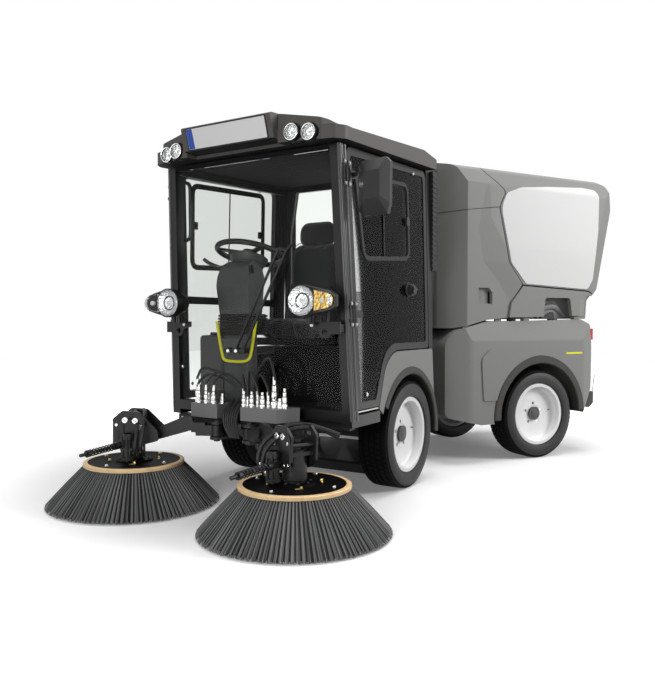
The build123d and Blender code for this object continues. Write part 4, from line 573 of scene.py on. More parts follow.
left_parts = window_frame(WINDOW_LEFT, 0.024, ((-0.02, 1.565),))
right_parts = window_frame(WINDOW_RIGHT, 0.032, ((-0.545, 1.561), (0.105, 1.570)))
piece("door_window_left", left_parts, "door_leaf_left")
piece("door_window_right", mirrored(right_parts), "door_leaf_right")
# each door's two corner screws, and its half of the hinges, which follows the pillar's slope
HINGE_BACK = -0.655
HINGE_SLOPE = 0.054
fittings = bolts([on_side(0.085, 1.866), on_side(-0.55, 0.60)], SIDE_NORMAL, 0.008, 0.006, zinc)
for label, z in HINGES:
    plate = facing(on_side(HINGE_BACK - (z - HINGES[0][1]) * HINGE_SLOPE, z), SIDE_NORMAL, (0, 1, 0))
    fittings.append((moved(slab(rounded(0.032, 0.132, 0.005), 0.007), plate), rib_black_painted_sheen))
    screws = [plate @ Vector((0, rise, 0.007)) for rise in STRAP_SCREWS]
    fittings += bolts(screws, SIDE_NORMAL, 0.0055, 0.004, zinc)
piece("door_fittings_left", fittings, "door_leaf_left")
piece("door_fittings_right", mirrored(fittings), "door_leaf_right")
# grab handle inside the right door's frame
grab = [(-0.578, -0.67, 1.797), (-0.545, -0.665, 1.795), (-0.522, -0.66, 1.765), (-0.519, -0.66, 1.62),
        (-0.519, -0.66, 1.49), (-0.541, -0.665, 1.459), (-0.578, -0.67, 1.455)]
piece("grab_handle", [(tube(smooth_path(grab, 6), 0.0115, 12), gloss_black)], "front_module")

# ---------------------------------------------------------------------------------------------------
# Inside the cab: textured black tub, grey steering pod with a bellows and a yellow-trimmed shield, a
# grey washer tank, the wheel and two woven seat cushions on foam.
# ---------------------------------------------------------------------------------------------------
# near-black: partly the plastic's own black, partly painted shade inside the closed cab
tub_black_and_shade = finish("tub_plastic", (0.007, 0.007, 0.008), 0.6, shift=0.2, grain=300, depth=0.008,
                   specular=0.15)
pod_grey = finish("pod_plastic", (0.064, 0.065, 0.068), 0.42, shift=0.06, grain=400, depth=0.008)
tank_grey = finish("tank_plastic", (0.062, 0.062, 0.063), 0.45, shift=0.08, grain=300, depth=0.008)
yellow = finish("yellow_trim", (0.92, 0.86, 0.03), 0.4, shift=0.05, grain=500)
dress(tub_black_and_shade, "cab_tub", "suction_duct")
dress(pod_grey, "steering_column")
dress(finish("wheel_grip", (0.018, 0.018, 0.019), 0.5, shift=0.15, grain=900, depth=0.05), "steering_wheel")
BELLOWS_FOLDS = 7
BELLOWS_FOOT = 0.906
FOLD_PITCH = 0.0165
POD_X = -0.172
POD_Y = -0.605
bellows = []
for k in range(BELLOWS_FOLDS):
    fold = slab(rounded(0.291 - 0.004 * abs(k - 3), 0.15, 0.035), 0.0125, 0.005)
    place = Matrix.Translation((POD_X, POD_Y, BELLOWS_FOOT + FOLD_PITCH * k))
    bellows.append((moved(fold, place), seal_rubber))
sleeve = slab(rounded(0.262, 0.128, 0.03), 0.118, 0.003)
bellows.append((moved(sleeve, Matrix.Translation((POD_X, POD_Y, 0.904))), seal_rubber))
piece("steering_bellows", bellows, "front_module")
# U-shaped trim round the shield plate, x and z on its front face
TRIM = ((-0.293, 0.979), (-0.270, 0.862), (-0.252, 0.790), (-0.238, 0.764), (-0.205, 0.756), (-0.150, 0.754),
        (-0.098, 0.757), (-0.068, 0.768), (-0.052, 0.793), (-0.034, 0.875), (-0.014, 0.987))
SHIELD_TOP = 0.885
trim_route = smooth_path([(x, -0.689, z) for x, z in TRIM], 5)
shield = [(x, min(z, SHIELD_TOP)) for x, z in TRIM]
shield_place = facing((0, -0.681, 0), (0, -1, 0))
piece("steering_shield", [(moved(slab(shield, 0.006, 0.002), shield_place), pod_grey),
                          (tube(trim_route, 0.0085, 10), yellow)], "front_module")
# flared cowl below the wheel, with the turn and wiper stalks
WHEEL_CENTRE = Vector((-0.190, -0.517, 1.376))
COLUMN_LEAN = math.radians(16)
column = facing(WHEEL_CENTRE, (0, math.sin(COLUMN_LEAN), math.cos(COLUMN_LEAN)))
COWL = [(0.060, -0.085), (0.090, -0.080), (0.094, -0.074), (0.092, -0.068), (0.100, -0.060), (0.112, -0.030),
        (0.112, -0.024), (0.104, -0.020), (0.050, -0.019)]
TURN_STALK = ((-0.268, -0.60, 1.302), (-0.330, -0.625, 1.297), (-0.385, -0.645, 1.318),
              (-0.420, -0.655, 1.342))
WIPER_STALK = ((-0.120, -0.60, 1.300), (-0.090, -0.63, 1.292), (-0.066, -0.655, 1.272),
               (-0.058, -0.665, 1.252))
stalks = [(moved(lathe(COWL, 40), column), pod_grey)]
for points in (TURN_STALK, WIPER_STALK):
    stalks.append((tube(smooth_path(points, 5), [0.008] * 6 + [0.011] * 10, 12), knob_plastic))
piece("column_cowl", stalks, "front_module")
tank = [(-0.452, 0.50), (-0.455, 0.885), (-0.440, 0.898), (-0.30, 0.905), (-0.282, 0.895), (-0.282, 0.50)]
cap = moved(lathe([(0, 0), (0.02, 0), (0.02, 0.012), (0.016, 0.016), (0, 0.016)], 20),
            Matrix.Translation((-0.385, -0.61, 0.9)))
piece("washer_tank", [(moved(slab(tank, 0.10, 0.012), facing((0, -0.56, 0), (0, -1, 0))), tank_grey),
                      (cap, seal_rubber)], "front_module")
# upright instrument strip behind the wheel
panel = [(moved(slab(rounded(0.17, 0.10, 0.012), 0.014, 0.003),
                facing((-0.2, -0.573, 1.335), (0, 0.9, 0.45))), seal_rubber)]
piece("instrument_panel", panel, "front_module")
# black foam-backed headliner under the roof, and the seal strip over the rear wall
# near-black: partly the lining's own black, partly painted shade inside the cab and under the roof
lining_and_shade_black = finish("lining_and_shade_black", (0.006, 0.006, 0.007), 0.8, shift=0.2, grain=900, depth=0.02,
                      specular=0.1)
LINING = ((-0.72, 1.862), (0.28, 1.911))
(low_y, low_z), (high_y, high_z) = LINING
across = Vector((0, high_y - low_y, high_z - low_z))
middle = Vector((0, (low_y + high_y) / 2, (low_z + high_z) / 2))
lining = slab(rounded(0.93, across.length, 0.02), 0.010, 0.003)
strip = slab(rounded(0.96, 0.034, 0.004), 0.006)
strip_place = facing((0, 0.302, 1.902), (0, -1, 0))
headliner = [(moved(lining, facing(middle, (0, -across.z, across.y))), lining_and_shade_black),
             (moved(strip, strip_place), lining_and_shade_black)]
piece("headliner", headliner, "front_module")


def grouped_material(name, group, bump_height):
    """Material whose colour and height come from one node group."""
    material = bpy.data.materials.new(name)
    material.use_nodes = True
    tree = material.node_tree
    shader = tree.nodes["Principled BSDF"]
    look = add_node(tree, "Group", {}, node_tree=group)
    bump = add_node(tree, "Bump", {"Distance": bump_height, "Height": look.outputs["Height"]})
    tree.links.new(look.outputs["Colour"], shader.inputs["Base Color"])
    tree.links.new(bump.outputs["Normal"], shader.inputs["Normal"])
    return material


def woven_fabric():
    """Black seat cloth: a fine over-and-under weave in colour and height."""
    group, given, result = new_group(
        "weave", [("Thread Scale", "Float", 900.0), ("Light", "Color", (0.03, 0.03, 0.033, 1)),
                  ("Dark", "Color", (0.008, 0.008, 0.009, 1))],
        [("Colour", "Color", None), ("Height", "Float", None)])
    place = add_node(group, "TexCoord", {}).outputs["Object"]
    warp, weft = (add_node(group, "TexWave", {"Vector": place, "Scale": given.outputs["Thread Scale"]},
                           bands_direction=direction) for direction in ("X", "Z"))
    over = add_node(group, "Math", {0: warp.outputs["Fac"], 1: weft.outputs["Fac"]}, operation="MULTIPLY")
    blend = add_node(group, "Mix", {"Factor": over.outputs[0], "A": given.outputs["Dark"],
                                    "B": given.outputs["Light"]}, data_type="RGBA")
    group.links.new(blend.outputs["Result"], result.inputs["Colour"])
    group.links.new(over.outputs[0], result.inputs["Height"])
    material = grouped_material("seat_cloth", group, 0.0004)
    shader = material.node_tree.nodes["Principled BSDF"]
    shader.inputs["Roughness"].default_value = 0.85
    shader.inputs["Sheen Weight"].default_value = 0.3
    return material


seat_cloth = woven_fabric()


def cushion(name, width, length, depth, place, corner, swell=0.022):
    """Foam cushion: a rounded block that a short cloth run inflates, with piping sewn round its rim."""
    outline = rounded(width, length, corner, 6)
    pad = piece(name, [(moved(slab(outline, depth, depth * 0.3), place), seat_cloth)], "front_module",
                sharp=180)
    with bpy.context.temp_override(object=pad, active_object=pad, selected_objects=[pad]):
        voxels = pad.modifiers.new("voxels", "REMESH")
        voxels.voxel_size = 0.006
        bpy.ops.object.modifier_apply(modifier=voxels.name)
        before = [vert.co.copy() for vert in pad.data.vertices]
        cloth = pad.modifiers.new("cloth", "CLOTH")
        cloth.settings.use_pressure = True
        cloth.settings.uniform_pressure_force = 4
        cloth.settings.effector_weights.gravity = 0
        for step in range(1, 21):
            bpy.context.scene.frame_set(step)
        bpy.ops.object.modifier_apply(modifier=cloth.name)
        for vert, start in zip(pad.data.vertices, before):
            shift = vert.co - start
            if shift.length > swell:
                vert.co = start + shift.normalized() * swell
        bpy.context.scene.frame_set(1)
        finer = pad.modifiers.new("finer", "SUBSURF")
        finer.levels = 1
        bpy.ops.object.modifier_apply(modifier=finer.name)
    pad.data.shade_smooth()
    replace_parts(pad, "seat")
    rim = shrunk(outline, 0.004 - swell * 0.2)
    loop = [place @ Vector((x, y, depth * 0.72)) for x, y in rim + [rim[0]]]
    piping = piece(f"{name}_piping", [(tube(loop, 0.0028, 8), seal_rubber)], "front_module")
    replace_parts(piping, "seat")


SEAT_X = -0.19
cushion("seat_cushion", 0.42, 0.40, 0.082, facing((SEAT_X, -0.035, 0.885), (0, 0.08, 1)), 0.09)
cushion("seat_back", 0.42, 0.60, 0.078, facing((SEAT_X, 0.225, 1.208), (0, -1, 0.14)), 0.10)
cushion("seat_head", 0.27, 0.16, 0.060, facing((SEAT_X, 0.262, 1.563), (0, -1, 0.1)), 0.062, 0.012)


def seat_plate(outline, width, edge):
    """Moulded part across the seat, from its outline in y and z."""
    place = facing((SEAT_X - width / 2, 0, 0), (1, 0, 0), (0, 1, 0))
    return moved(slab(outline, width, edge), place), tub_black_and_shade


# pan below the cushion, the two rods of the headrest and the shell behind the back
SEAT_PAN = [(-0.215, 0.832), (-0.222, 0.878), (0.180, 0.878), (0.172, 0.832)]
SEAT_SHELL = [(0.218, 0.90), (0.240, 0.90), (0.290, 1.44), (0.268, 1.46), (0.252, 1.44)]
seat_frame = [seat_plate(SEAT_PAN, 0.36, 0.008)]
for x in (SEAT_X - 0.06, SEAT_X + 0.06):
    seat_frame.append((tube([(x, 0.24, 1.45), (x, 0.243, 1.56)], 0.007, 12), plated))
seat_frame.append(seat_plate(SEAT_SHELL, 0.38, 0.006))
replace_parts(piece("seat_frame", seat_frame, "front_module"), "seat")

# ---------------------------------------------------------------------------------------------------
# Roof: one dark grey moulding, with a blank number plate in its tray and two round work lamps in the
# pocket at each corner.
# ---------------------------------------------------------------------------------------------------
roof_grey = finish("roof_moulding", (0.088, 0.085, 0.080), 0.5, shift=0.06, grain=400, depth=0.01,
                   specular=0.3)
plate_white = finish("plate_white", (0.97, 0.97, 0.97), 0.35, shift=0.03, grain=300, coat=0.2)
plate_blue = finish("plate_blue", (0.03, 0.10, 0.50), 0.35, shift=0.05, grain=300, coat=0.2)
dress(roof_grey, "cab_roof")
# every downward face of the roof takes the near-black lining colour: painted shade under the roof
paint("cab_roof", lining_and_shade_black, lambda place, normal: normal.z < -0.6)
paint("cab_frame", lining_and_shade_black, lambda place, normal: place.z > 1.83 and abs(place.x) < 0.52)
PLATE_LEAN = math.radians(17.4)
tray = facing((0, -0.962, 1.945), (0, -math.cos(PLATE_LEAN), -math.sin(PLATE_LEAN)))
# backing, plate, blue end strip and frame, each with its place in the tray
PLATE_LAYERS = (
    (slab(rounded(0.524, 0.115, 0.006), 0.003), (0, 0, 0), seal_rubber),
    (slab(rounded(0.519, 0.107, 0.006), 0.0022, 0.0005), (0, 0, 0.003), plate_white),
    (slab(rounded(0.040, 0.102, 0.003), 0.001, 0.0003), (-0.236, 0, 0.0048), plate_blue),
    (frame_ring(rounded(0.522, 0.112, 0.008), 0.004, 0.0045, 0.001), (0, 0, 0.0025), seal_rubber))
plate = [(moved(shape, tray @ Matrix.Translation(place)), material)
         for shape, place, material in PLATE_LAYERS]
piece("number_plate", plate, "front_module")


def facet_chrome(name, colour, scale, rough=0.08):
    """Vacuum-plated reflector pressed into small facets, each tilted its own way, with a painted reflection
    in its diffuse part.
    """
    material = bpy.data.materials.new(name)
    material.use_nodes = True
    tree = material.node_tree
    shader = tree.nodes["Principled BSDF"]
    # three quarters metal, one quarter diffuse in the base colour: the diffuse part is painted reflection of
    # the bright surroundings
    shader.inputs["Metallic"].default_value = 0.75
    shader.inputs["Base Color"].default_value = (*colour, 1)
    shader.inputs["Roughness"].default_value = rough
    place = add_node(tree, "TexCoord", {}).outputs["Object"]
    cells = add_node(tree, "TexVoronoi", {"Vector": place, "Scale": scale})
    bump = add_node(tree, "Bump", {"Distance": 0.004, "Strength": 0.9, "Height": cells.outputs["Distance"]})
    tree.links.new(bump.outputs["Normal"], shader.inputs["Normal"])
    return material


lens_clear = pane("lens_clear", (0.97, 0.98, 0.98), ior=1.5, roughness=0.03)
reflector = facet_chrome("lamp_reflector", (0.92, 0.93, 0.94), 90)
bulb_and_reflection_white = finish("bulb_and_reflection_white", (0.85, 0.85, 0.82), 0.1, shift=0.02, grain=100, coat=1.0)


def turned_parts(rows, seat):
    """Turned shapes on one axis, from rows of segments, whether the section closes, material, section."""
    return [(moved(lathe(section, segments, closed=closed), seat), material)
            for segments, closed, material, *section in rows]


# can, bright ring, reflector, bulb and lens; a section is radius and height above the lamp's seat
WORK_LAMP = (
    (36, False, knob_plastic, (0, 0), (0.033, 0), (0.041, 0.012), (0.0418, 0.046), (0.040, 0.0525),
     (0.037, 0.0525)),
    (36, True, plated, (0.0405, 0.0505), (0.0412, 0.053), (0.0385, 0.0545), (0.0365, 0.053)),
    (36, False, reflector, (0.036, 0.046), (0.026, 0.024), (0.009, 0.016), (0, 0.016)),
    (16, False, bulb_and_reflection_white, (0, 0.016), (0.008, 0.018), (0.008, 0.034), (0, 0.038)),
    (36, False, lens_clear, (0.0372, 0.050), (0.026, 0.0545), (0.012, 0.0565), (0, 0.057)))
WORK_LAMP_SEATS = ((0.380, -0.8785, 1.909), (0.468, -0.8585, 1.903))
lamps = []
for x, y, z in WORK_LAMP_SEATS:
    for side in (-1, 1):
        lamps += turned_parts(WORK_LAMP, facing((side * x, y, z), (0, -1, 0)))
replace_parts(piece("work_lamps", lamps, "front_module"), "work_lights")

# ---------------------------------------------------------------------------------------------------
# Headlamps: black moulded bowls with a faceted reflector behind a clear lens, and beside it an amber
# turn lamp.  Folded brackets carry them off the pillars.
# ---------------------------------------------------------------------------------------------------
lamp_black = finish("lamp_housing", (0.008, 0.008, 0.009), 0.35, shift=0.15, grain=600, depth=0.02,
                    specular=0.3)
bracket_grey = finish("bracket_coat", (0.035, 0.035, 0.036), 0.45, shift=0.15, grain=600, depth=0.01)
amber_reflector = facet_chrome("turn_lamp_reflector", (1.0, 0.62, 0.10), 70, 0.12)
dress(lamp_black, "headlamps")
paint("headlamps", bracket_grey, lambda place, normal: place.z < 0.985)
LAMP = Vector((0.442, -0.908, 1.081))
# reflector, lens, bulb and the dark ring round it
HEADLAMP = (
    (48, False, reflector, (0.0745, 0.0235), (0.073, 0.0255), (0.067, 0.0225), (0.054, 0.015),
     (0.036, 0.009), (0.013, 0.007)),
    (48, False, lens_clear, (0.0735, 0.0255), (0.070, 0.0285), (0.054, 0.032), (0.034, 0.034),
     (0.014, 0.035), (0, 0.0352)),
    (24, False, bulb_and_reflection_white, (0, 0.007), (0.013, 0.007), (0.0125, 0.018), (0.009, 0.023), (0, 0.024)),
    (24, True, lamp_black, (0.036, 0.0095), (0.040, 0.0125), (0.037, 0.0135), (0.034, 0.0115)))
# turn lamp: outlines of its lens and of the plate at its tip, x outward from the headlamp's middle
TURN_LENS = [(0.073, -0.052), (0.150, -0.036), (0.173, -0.022), (0.180, 0.0), (0.173, 0.022), (0.150, 0.036),
             (0.073, 0.052)]
TURN_TIP = [(0.150, -0.034), (0.172, -0.020), (0.178, 0.0), (0.172, 0.020), (0.150, 0.034)]
TURN_LAYERS = ((slab(TURN_LENS, 0.003, 0.001), 0.0160, amber_reflector),
               (slab(TURN_TIP, 0.0015, 0.0005), 0.0195, reflector),
               (slab(TURN_LENS, 0.004, 0.0018), 0.0225, lens_clear))
TURN_BULB = lathe([(0.014, 0), (0.0125, 0.006), (0.008, 0.010), (0, 0.011)], 20)
# stems that stand on the bracket: x, y, top and foot from the lamp's middle, radius, segments
STEMS = ((-0.006, 0.06, -0.075, -0.108, 0.014, 14), (0.03, 0.112, -0.055, -0.106, 0.009, 10),
         (0.075, 0.112, -0.055, -0.106, 0.009, 10))
BRACKET_BOLTS = [LAMP + Vector((-0.012, 0.095, -0.117)), LAMP + Vector((0.104, 0.112, -0.02))]
bowl = facing(LAMP, (0, -1, 0))
parts = turned_parts(HEADLAMP, bowl)
for layer, height, material in TURN_LAYERS:
    parts.append((moved(layer, bowl @ Matrix.Translation((0, 0, height))), material))
parts.append((moved(TURN_BULB, bowl @ Matrix.Translation((0.118, 0, 0.0185))), bulb_and_reflection_white))
parts += bolts(BRACKET_BOLTS, (0, -1, 0), 0.008, 0.006, zinc)
for x, y, top, foot, radius, segments in STEMS:
    stem = [LAMP + Vector((x, y, z)) for z in (top, foot)]
    parts.append((tube(stem, radius, segments), lamp_black))
piece("headlamp_left", parts, "front_module")
# the right lamp's turn part has no amber plate; white diffuse stands in its place, a painted reflection of
# the white surroundings
white_turn_lamp_parts = [(shape, bulb_and_reflection_white if material is amber_reflector else material)
               for shape, material in parts]
piece("headlamp_right", mirrored(white_turn_lamp_parts), "front_module")

# ---------------------------------------------------------------------------------------------------
# Door mirror, wiper and ribbed duct: black moulded and powder-coated pieces.
# ---------------------------------------------------------------------------------------------------
dress(finish("mirror_moulding", (0.035, 0.035, 0.036), 0.34, shift=0.1, grain=700, depth=0.02),
      "mirror_left")
dress(gloss_black, "wiper")
dress(finish("duct_moulding", (0.02, 0.02, 0.021), 0.4, shift=0.15, grain=700), "air_duct")
mirror_glass = finish("mirror_glass", (0.9, 0.9, 0.91), 0.03, metallic=1.0, shift=0.01, grain=50,
                      depth=0.001)
# outline of the mirror's back, of which the glass takes nine tenths
MIRROR_OUTLINE = ((-0.092, -0.11), (-0.07, -0.138), (0.066, -0.134), (0.078, -0.084), (0.08, 0.118),
                  (0.056, 0.142), (-0.076, 0.132), (-0.092, 0.112))
GLASS_SHARE = 0.9
glass_outline = [(x * GLASS_SHARE, z * GLASS_SHARE) for x, z in MIRROR_OUTLINE]
back = facing((0.738, -0.6895, 1.640), (0, 1, 0), (1, 0, 0))
glass = [(moved(slab(glass_outline, 0.003), back), mirror_glass)]
piece("mirror_glass_left", glass, "door_leaf_left")
# plated caps on the two nuts at the wiper's foot
WIPER_CAP = lathe([(0, 0), (0.011, 0), (0.011, 0.008), (0.008, 0.011), (0, 0.011)], 18)
caps = [(moved(WIPER_CAP, facing((x, -0.763, 0.818), (0, -1, -0.05))), plated) for x in (-0.147, -0.092)]
piece("wiper_caps", caps, "front_module")

# ---------------------------------------------------------------------------------------------------
# Body mouldings: mid grey rotomoulded shells with a faint satin grain, brown-black rubber arch lips, and
# an off-white side panel each side.  The tail lamps are red lenses.
# ---------------------------------------------------------------------------------------------------
mid_grey = finish("mid_grey_moulding", (0.235, 0.235, 0.23), 0.55, shift=0.05, grain=500, depth=0.02,
                  specular=0.3)
off_white = finish("off_white_panel", (0.75, 0.75, 0.745), 0.55, shift=0.02, grain=400, depth=0.01,
                   specular=0.2)
lip_rubber = finish("arch_lip", (0.042, 0.041, 0.037), 0.5, shift=0.15, grain=700, depth=0.04, dust=0.3)
dress(mid_grey, "fenders", "lower_body", "side_skirts", "hood", "container", "tailgate")
dress(off_white, "side_panels")
dress(lip_rubber, "front_arch_linings", "rear_arch_linings")
tail_red = finish("tail_red", (0.55, 0.02, 0.012), 0.15, shift=0.05, grain=300, coat=0.8,
                  coat_roughness=0.05)
dress(tail_red, "tail_lamps")
mark = []
for side in (-1, 1):
    stripe = facing((side * 0.6, 2.115, 0.752), (side, 0, 0), (0, side, 0))
    mark.append((moved(slab(rounded(0.162, 0.013, 0.002), 0.0012, 0.0004), stripe), yellow))
piece("yellow_bars", mark, "rear_module", REAR)
# latch and hose seen in the opening below the container's overhang
RECESS_LATCH = slab([(-0.07, 0), (-0.06, 0.02), (-0.02, 0.026), (0.035, 0.05), (0.06, 0.05), (0.07, 0.03),
                     (0.07, 0)], 0.016, 0.003)
RECESS_HOSE = ((0.51, 1.80, 1.02), (0.512, 1.86, 1.075), (0.512, 1.98, 1.095), (0.51, 2.09, 1.03))
recess = []
for side in (-1, 1):
    latch_foot = facing((side * 0.568, 1.86, 1.003), (side, 0, 0), (0, side, 0))
    route = smooth_path([(side * x, y, z) for x, y, z in RECESS_HOSE], 6)
    recess.append((moved(RECESS_LATCH, latch_foot), black_coat))
    recess.append((tube(route, 0.026, 16), box_grey))
piece("recess_latches", recess, "rear_module", REAR)
# zinc rod up to the bumper each side
rods = [(tube([(side * 0.557, 2.352, 0.452), (side * 0.557, 2.372, 0.578)], 0.004, 8), zinc)
        for side in (-1, 1)]
piece("bumper_rods", rods, "rear_module", REAR)
# zinc strip along the sill under each door
sill = [(tube([(0.606, -0.70, 0.517), (0.606, -0.43, 0.517)], 0.005, 8), zinc)]
piece("sill_strip_left", sill, "front_module")
piece("sill_strip_right", mirrored(sill), "front_module")

# ---------------------------------------------------------------------------------------------------
# Wheels: pressed steel rims in white enamel with a grey hub cap, and road tyres of black rubber whose
# tread blocks stand in five rows round the crown.
# ---------------------------------------------------------------------------------------------------
white_rim = finish("white_rim_enamel", (0.93, 0.93, 0.935), 0.4, shift=0.02, grain=500, depth=0.02,
                   coat=0.1)
hub_grey = finish("hub_cap_grey", (0.09, 0.09, 0.09), 0.4, shift=0.1, grain=500, dust=0.1)
tyre_side = finish("tyre_side_rubber", (0.031, 0.031, 0.032), 0.5, shift=0.15, grain=900, depth=0.03)
tyre_crown = finish("tyre_tread_rubber", (0.005, 0.005, 0.005), 0.7, shift=0.2, grain=700, depth=0.05,
                    specular=0.1)
TYRE_RADIUS = 0.316
TREAD_DEPTH = 0.007
TREAD_PITCHES = 62
# tread rows: middle from the wheel's centre plane, width, and how far each is turned in pitches
TREAD_ROWS = ((-0.0725, 0.028, 0.5), (-0.037, 0.032, 0.0), (0.0, 0.028, 0.3), (0.037, 0.032, 0.6),
              (0.0725, 0.028, 0.1))
TYRE_SECTION = [(0.203, 0.0795), (0.222, 0.0795), (0.228, 0.096), (0.240, 0.1005), (0.258, 0.1020),
                (0.2585, 0.1025), (0.272, 0.1015), (0.286, 0.0985), (0.298, 0.0930), (0.3065, 0.0865),
                (0.309, 0.080)]
TREAD_EDGE = 0.0012
SHOULDER_DROP = 0.0025
SIDEWALL_RADIUS = 0.306


def tyre_shape():
    """Tyre about Z: its section turned, with the tread blocks standing on the crown."""
    section = TYRE_SECTION + [(radius, -width) for radius, width in reversed(TYRE_SECTION)]
    verts, faces = lathe(section, 96)
    for middle, width, turned in TREAD_ROWS:
        for k in range(TREAD_PITCHES):
            start = len(verts)
            for height, narrow in ((TYRE_RADIUS - TREAD_DEPTH - 0.001, 0.0), (TYRE_RADIUS, TREAD_EDGE)):
                drop = SHOULDER_DROP if abs(middle) > 0.05 and height == TYRE_RADIUS else 0.0
                for along, share in ((-0.5, 0.06), (-0.5, 0.90), (0.5, 0.90), (0.5, 0.06)):
                    turn = 2 * math.pi * (k + turned + share
                                          + 0.25 * along * (1 if middle >= 0 else -1)) / TREAD_PITCHES
                    reach = height - (drop if along * middle > 0 else 0)
                    z = middle + along * (width - 2 * narrow)
                    verts.append(Vector((reach * math.cos(turn), reach * math.sin(turn), z)))
            faces += [tuple(start + i for i in face) for face in ((0, 1, 2, 3), (4, 5, 6, 7), (0, 1, 5, 4),
                                                                  (1, 2, 6, 5), (2, 3, 7, 6), (3, 0, 4, 7))]
    return verts, faces


def sidewalls_and_crown(verts, faces):
    """Faces of the sidewalls, and faces of the crown."""
    side = [face for face in faces if max(verts[i].xy.length for i in face) < SIDEWALL_RADIUS]
    sidewall = set(side)
    return side, [face for face in faces if face not in sidewall]


tyre_verts, tyre_faces = tyre_shape()
side_faces, crown_faces = sidewalls_and_crown(tyre_verts, tyre_faces)
# raised ring and middle of the hub cap
HUB_TRIM = ((40, True, white_rim, (0.058, 0), (0.0605, 0.004), (0.063, 0)),
            (28, False, hub_grey, (0.030, 0), (0.030, 0.018), (0.026, 0.0195), (0, 0.0195)))
HUB_CAP_RADIUS = 0.0495
HUB_CAP_HEIGHT = 0.02
VALVE = ((0.150, 0.02, 0.012), (0.146, 0.02, 0.030), (0.140, 0.02, 0.044))
WHEELS = (("front", FRONT, 0.508, 0.0), ("rear", REAR, 0.495, 1.788))
for module, turned, track, axle_y in WHEELS:
    for side, sign in (("left", 1), ("right", -1)):
        hub = facing((sign * track, axle_y, TYRE_RADIUS), (sign, 0, 0), (0, 1, 0))
        parts = [(moved((tyre_verts, side_faces), hub), tyre_side),
                 (moved((tyre_verts, crown_faces), hub), tyre_crown)]
        tyre = piece(f"road_tyre_{module}_{side}", parts, f"wheel_{module}_{side}", turned, 32)
        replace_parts(tyre, f"tyre_{module}_{side}")
        dress(white_rim, f"rim_{module}_{side}")
        centre = turned @ Vector((sign * track, axle_y, TYRE_RADIUS))
        mesh = nodes[f"rim_{module}_{side}"].data
        mesh.materials.append(hub_grey)
        outward = turned.to_3x3() @ Vector((sign, 0, 0))
        for face in mesh.polygons:
            away = face.center - centre
            along = away.dot(outward)
            if along > HUB_CAP_HEIGHT and (away - outward * along).length < HUB_CAP_RADIUS:
                face.material_index = 1
        small = turned_parts(HUB_TRIM, hub @ Matrix.Translation((0, 0, 0.028)))
        small.append((tube([hub @ Vector(point) for point in VALVE], 0.0035, 8), seal_rubber))
        piece(f"hub_trim_{module}_{side}", small, f"wheel_{module}_{side}", turned)

# ---------------------------------------------------------------------------------------------------
# Brush arms and heads: thick plate and castings in black powder coat with plated bolts.  Each head has a
# spring rod that points forward, a hydraulic motor and two hoses that loop back to the arm.
# ---------------------------------------------------------------------------------------------------
head_coat = finish("head_powder_coat", (0.012, 0.012, 0.013), 0.36, shift=0.25, grain=800, dust=0.1,
                   specular=0.3)
brass = finish("brass_clip", (0.75, 0.55, 0.24), 0.3, metallic=1.0, shift=0.1, grain=500)
arm_coat = finish("arm_powder_coat", (0.008, 0.008, 0.009), 0.36, shift=0.25, grain=800, dust=0.1,
                  specular=0.3)
dress(arm_coat, "brush_arm_left", "brush_arm_right", "brush_link_left", "brush_link_right")
dress(head_coat, "brush_head_left", "brush_head_right")
ARM_PIVOT = Vector((0.110, -0.905, 0.400))
BRUSH_AXIS = Vector((0.523, -1.100, 0.400))
ARM_TURN = math.atan2(BRUSH_AXIS.y - ARM_PIVOT.y, BRUSH_AXIS.x - ARM_PIVOT.x)
ARM_REACH = (BRUSH_AXIS - ARM_PIVOT).length
ARM = Matrix.Translation(ARM_PIVOT) @ Matrix.Rotation(ARM_TURN, 4, "Z")


# sizes along the arm are counted from the brush's axis; the near plate's outer face is at NEAR
NEAR = -0.0725
SLOTTED_BOLTS = ((-0.034, 0.052), (0.022, 0.055))
HEX_BOLTS = ((0.068, 0.030), (0.070, -0.07), (-0.06, 0.02), (0.035, -0.075))
BRACKET = [(0.028, -0.095), (0.028, 0.072), (0.078, 0.066), (0.088, 0.03), (0.088, -0.095)]
MOTOR_CAN = [(0, 0), (0.034, 0), (0.034, 0.016), (0.028, 0.02), (0.028, 0.105), (0.032, 0.11), (0.032, 0.13),
             (0.022, 0.14), (0, 0.14)]
MOTOR_PIPES = ((-0.014, -0.138), (0.018, -0.130))


def on_plate(along, rise, stand=0.0, across=(1, 0, 0)):
    """Place on the near plate or standing off it, facing forward, with its x axis turned to across."""
    return facing((ARM_REACH + along, NEAR - stand, rise), (0, -1, 0), across)


head_parts = []
bolt_head = lathe([(0, 0), (0.0165, 0), (0.0165, 0.0056), (0.01419, 0.008), (0, 0.008)], 24)
# the slot in each slotted bolt's head is a thin dark strip laid on it: painted shade of the groove
slot_mark = slab(rounded(0.022, 0.003, 0.001), 0.001, 0.0003)
for along, rise in SLOTTED_BOLTS:
    head_parts.append((moved(bolt_head, on_plate(along, rise)), plated))
    head_parts.append((moved(slot_mark, on_plate(along, rise, 0.008, (1, 0, 0.6))), seal_rubber))
for along, rise in HEX_BOLTS:
    head_parts.append((moved(bolt(0.0095, 0.009), on_plate(along, rise)), zinc))
# folded bracket with a slot, standing on the near plate
head_parts.append((moved(slab(BRACKET, 0.006), on_plate(0, 0)), head_coat))
slot_mark = slab(rounded(0.012, 0.052, 0.005), 0.0008, 0.0002)
head_parts.append((moved(slot_mark, on_plate(0.056, -0.022, 0.006)), seal_rubber))
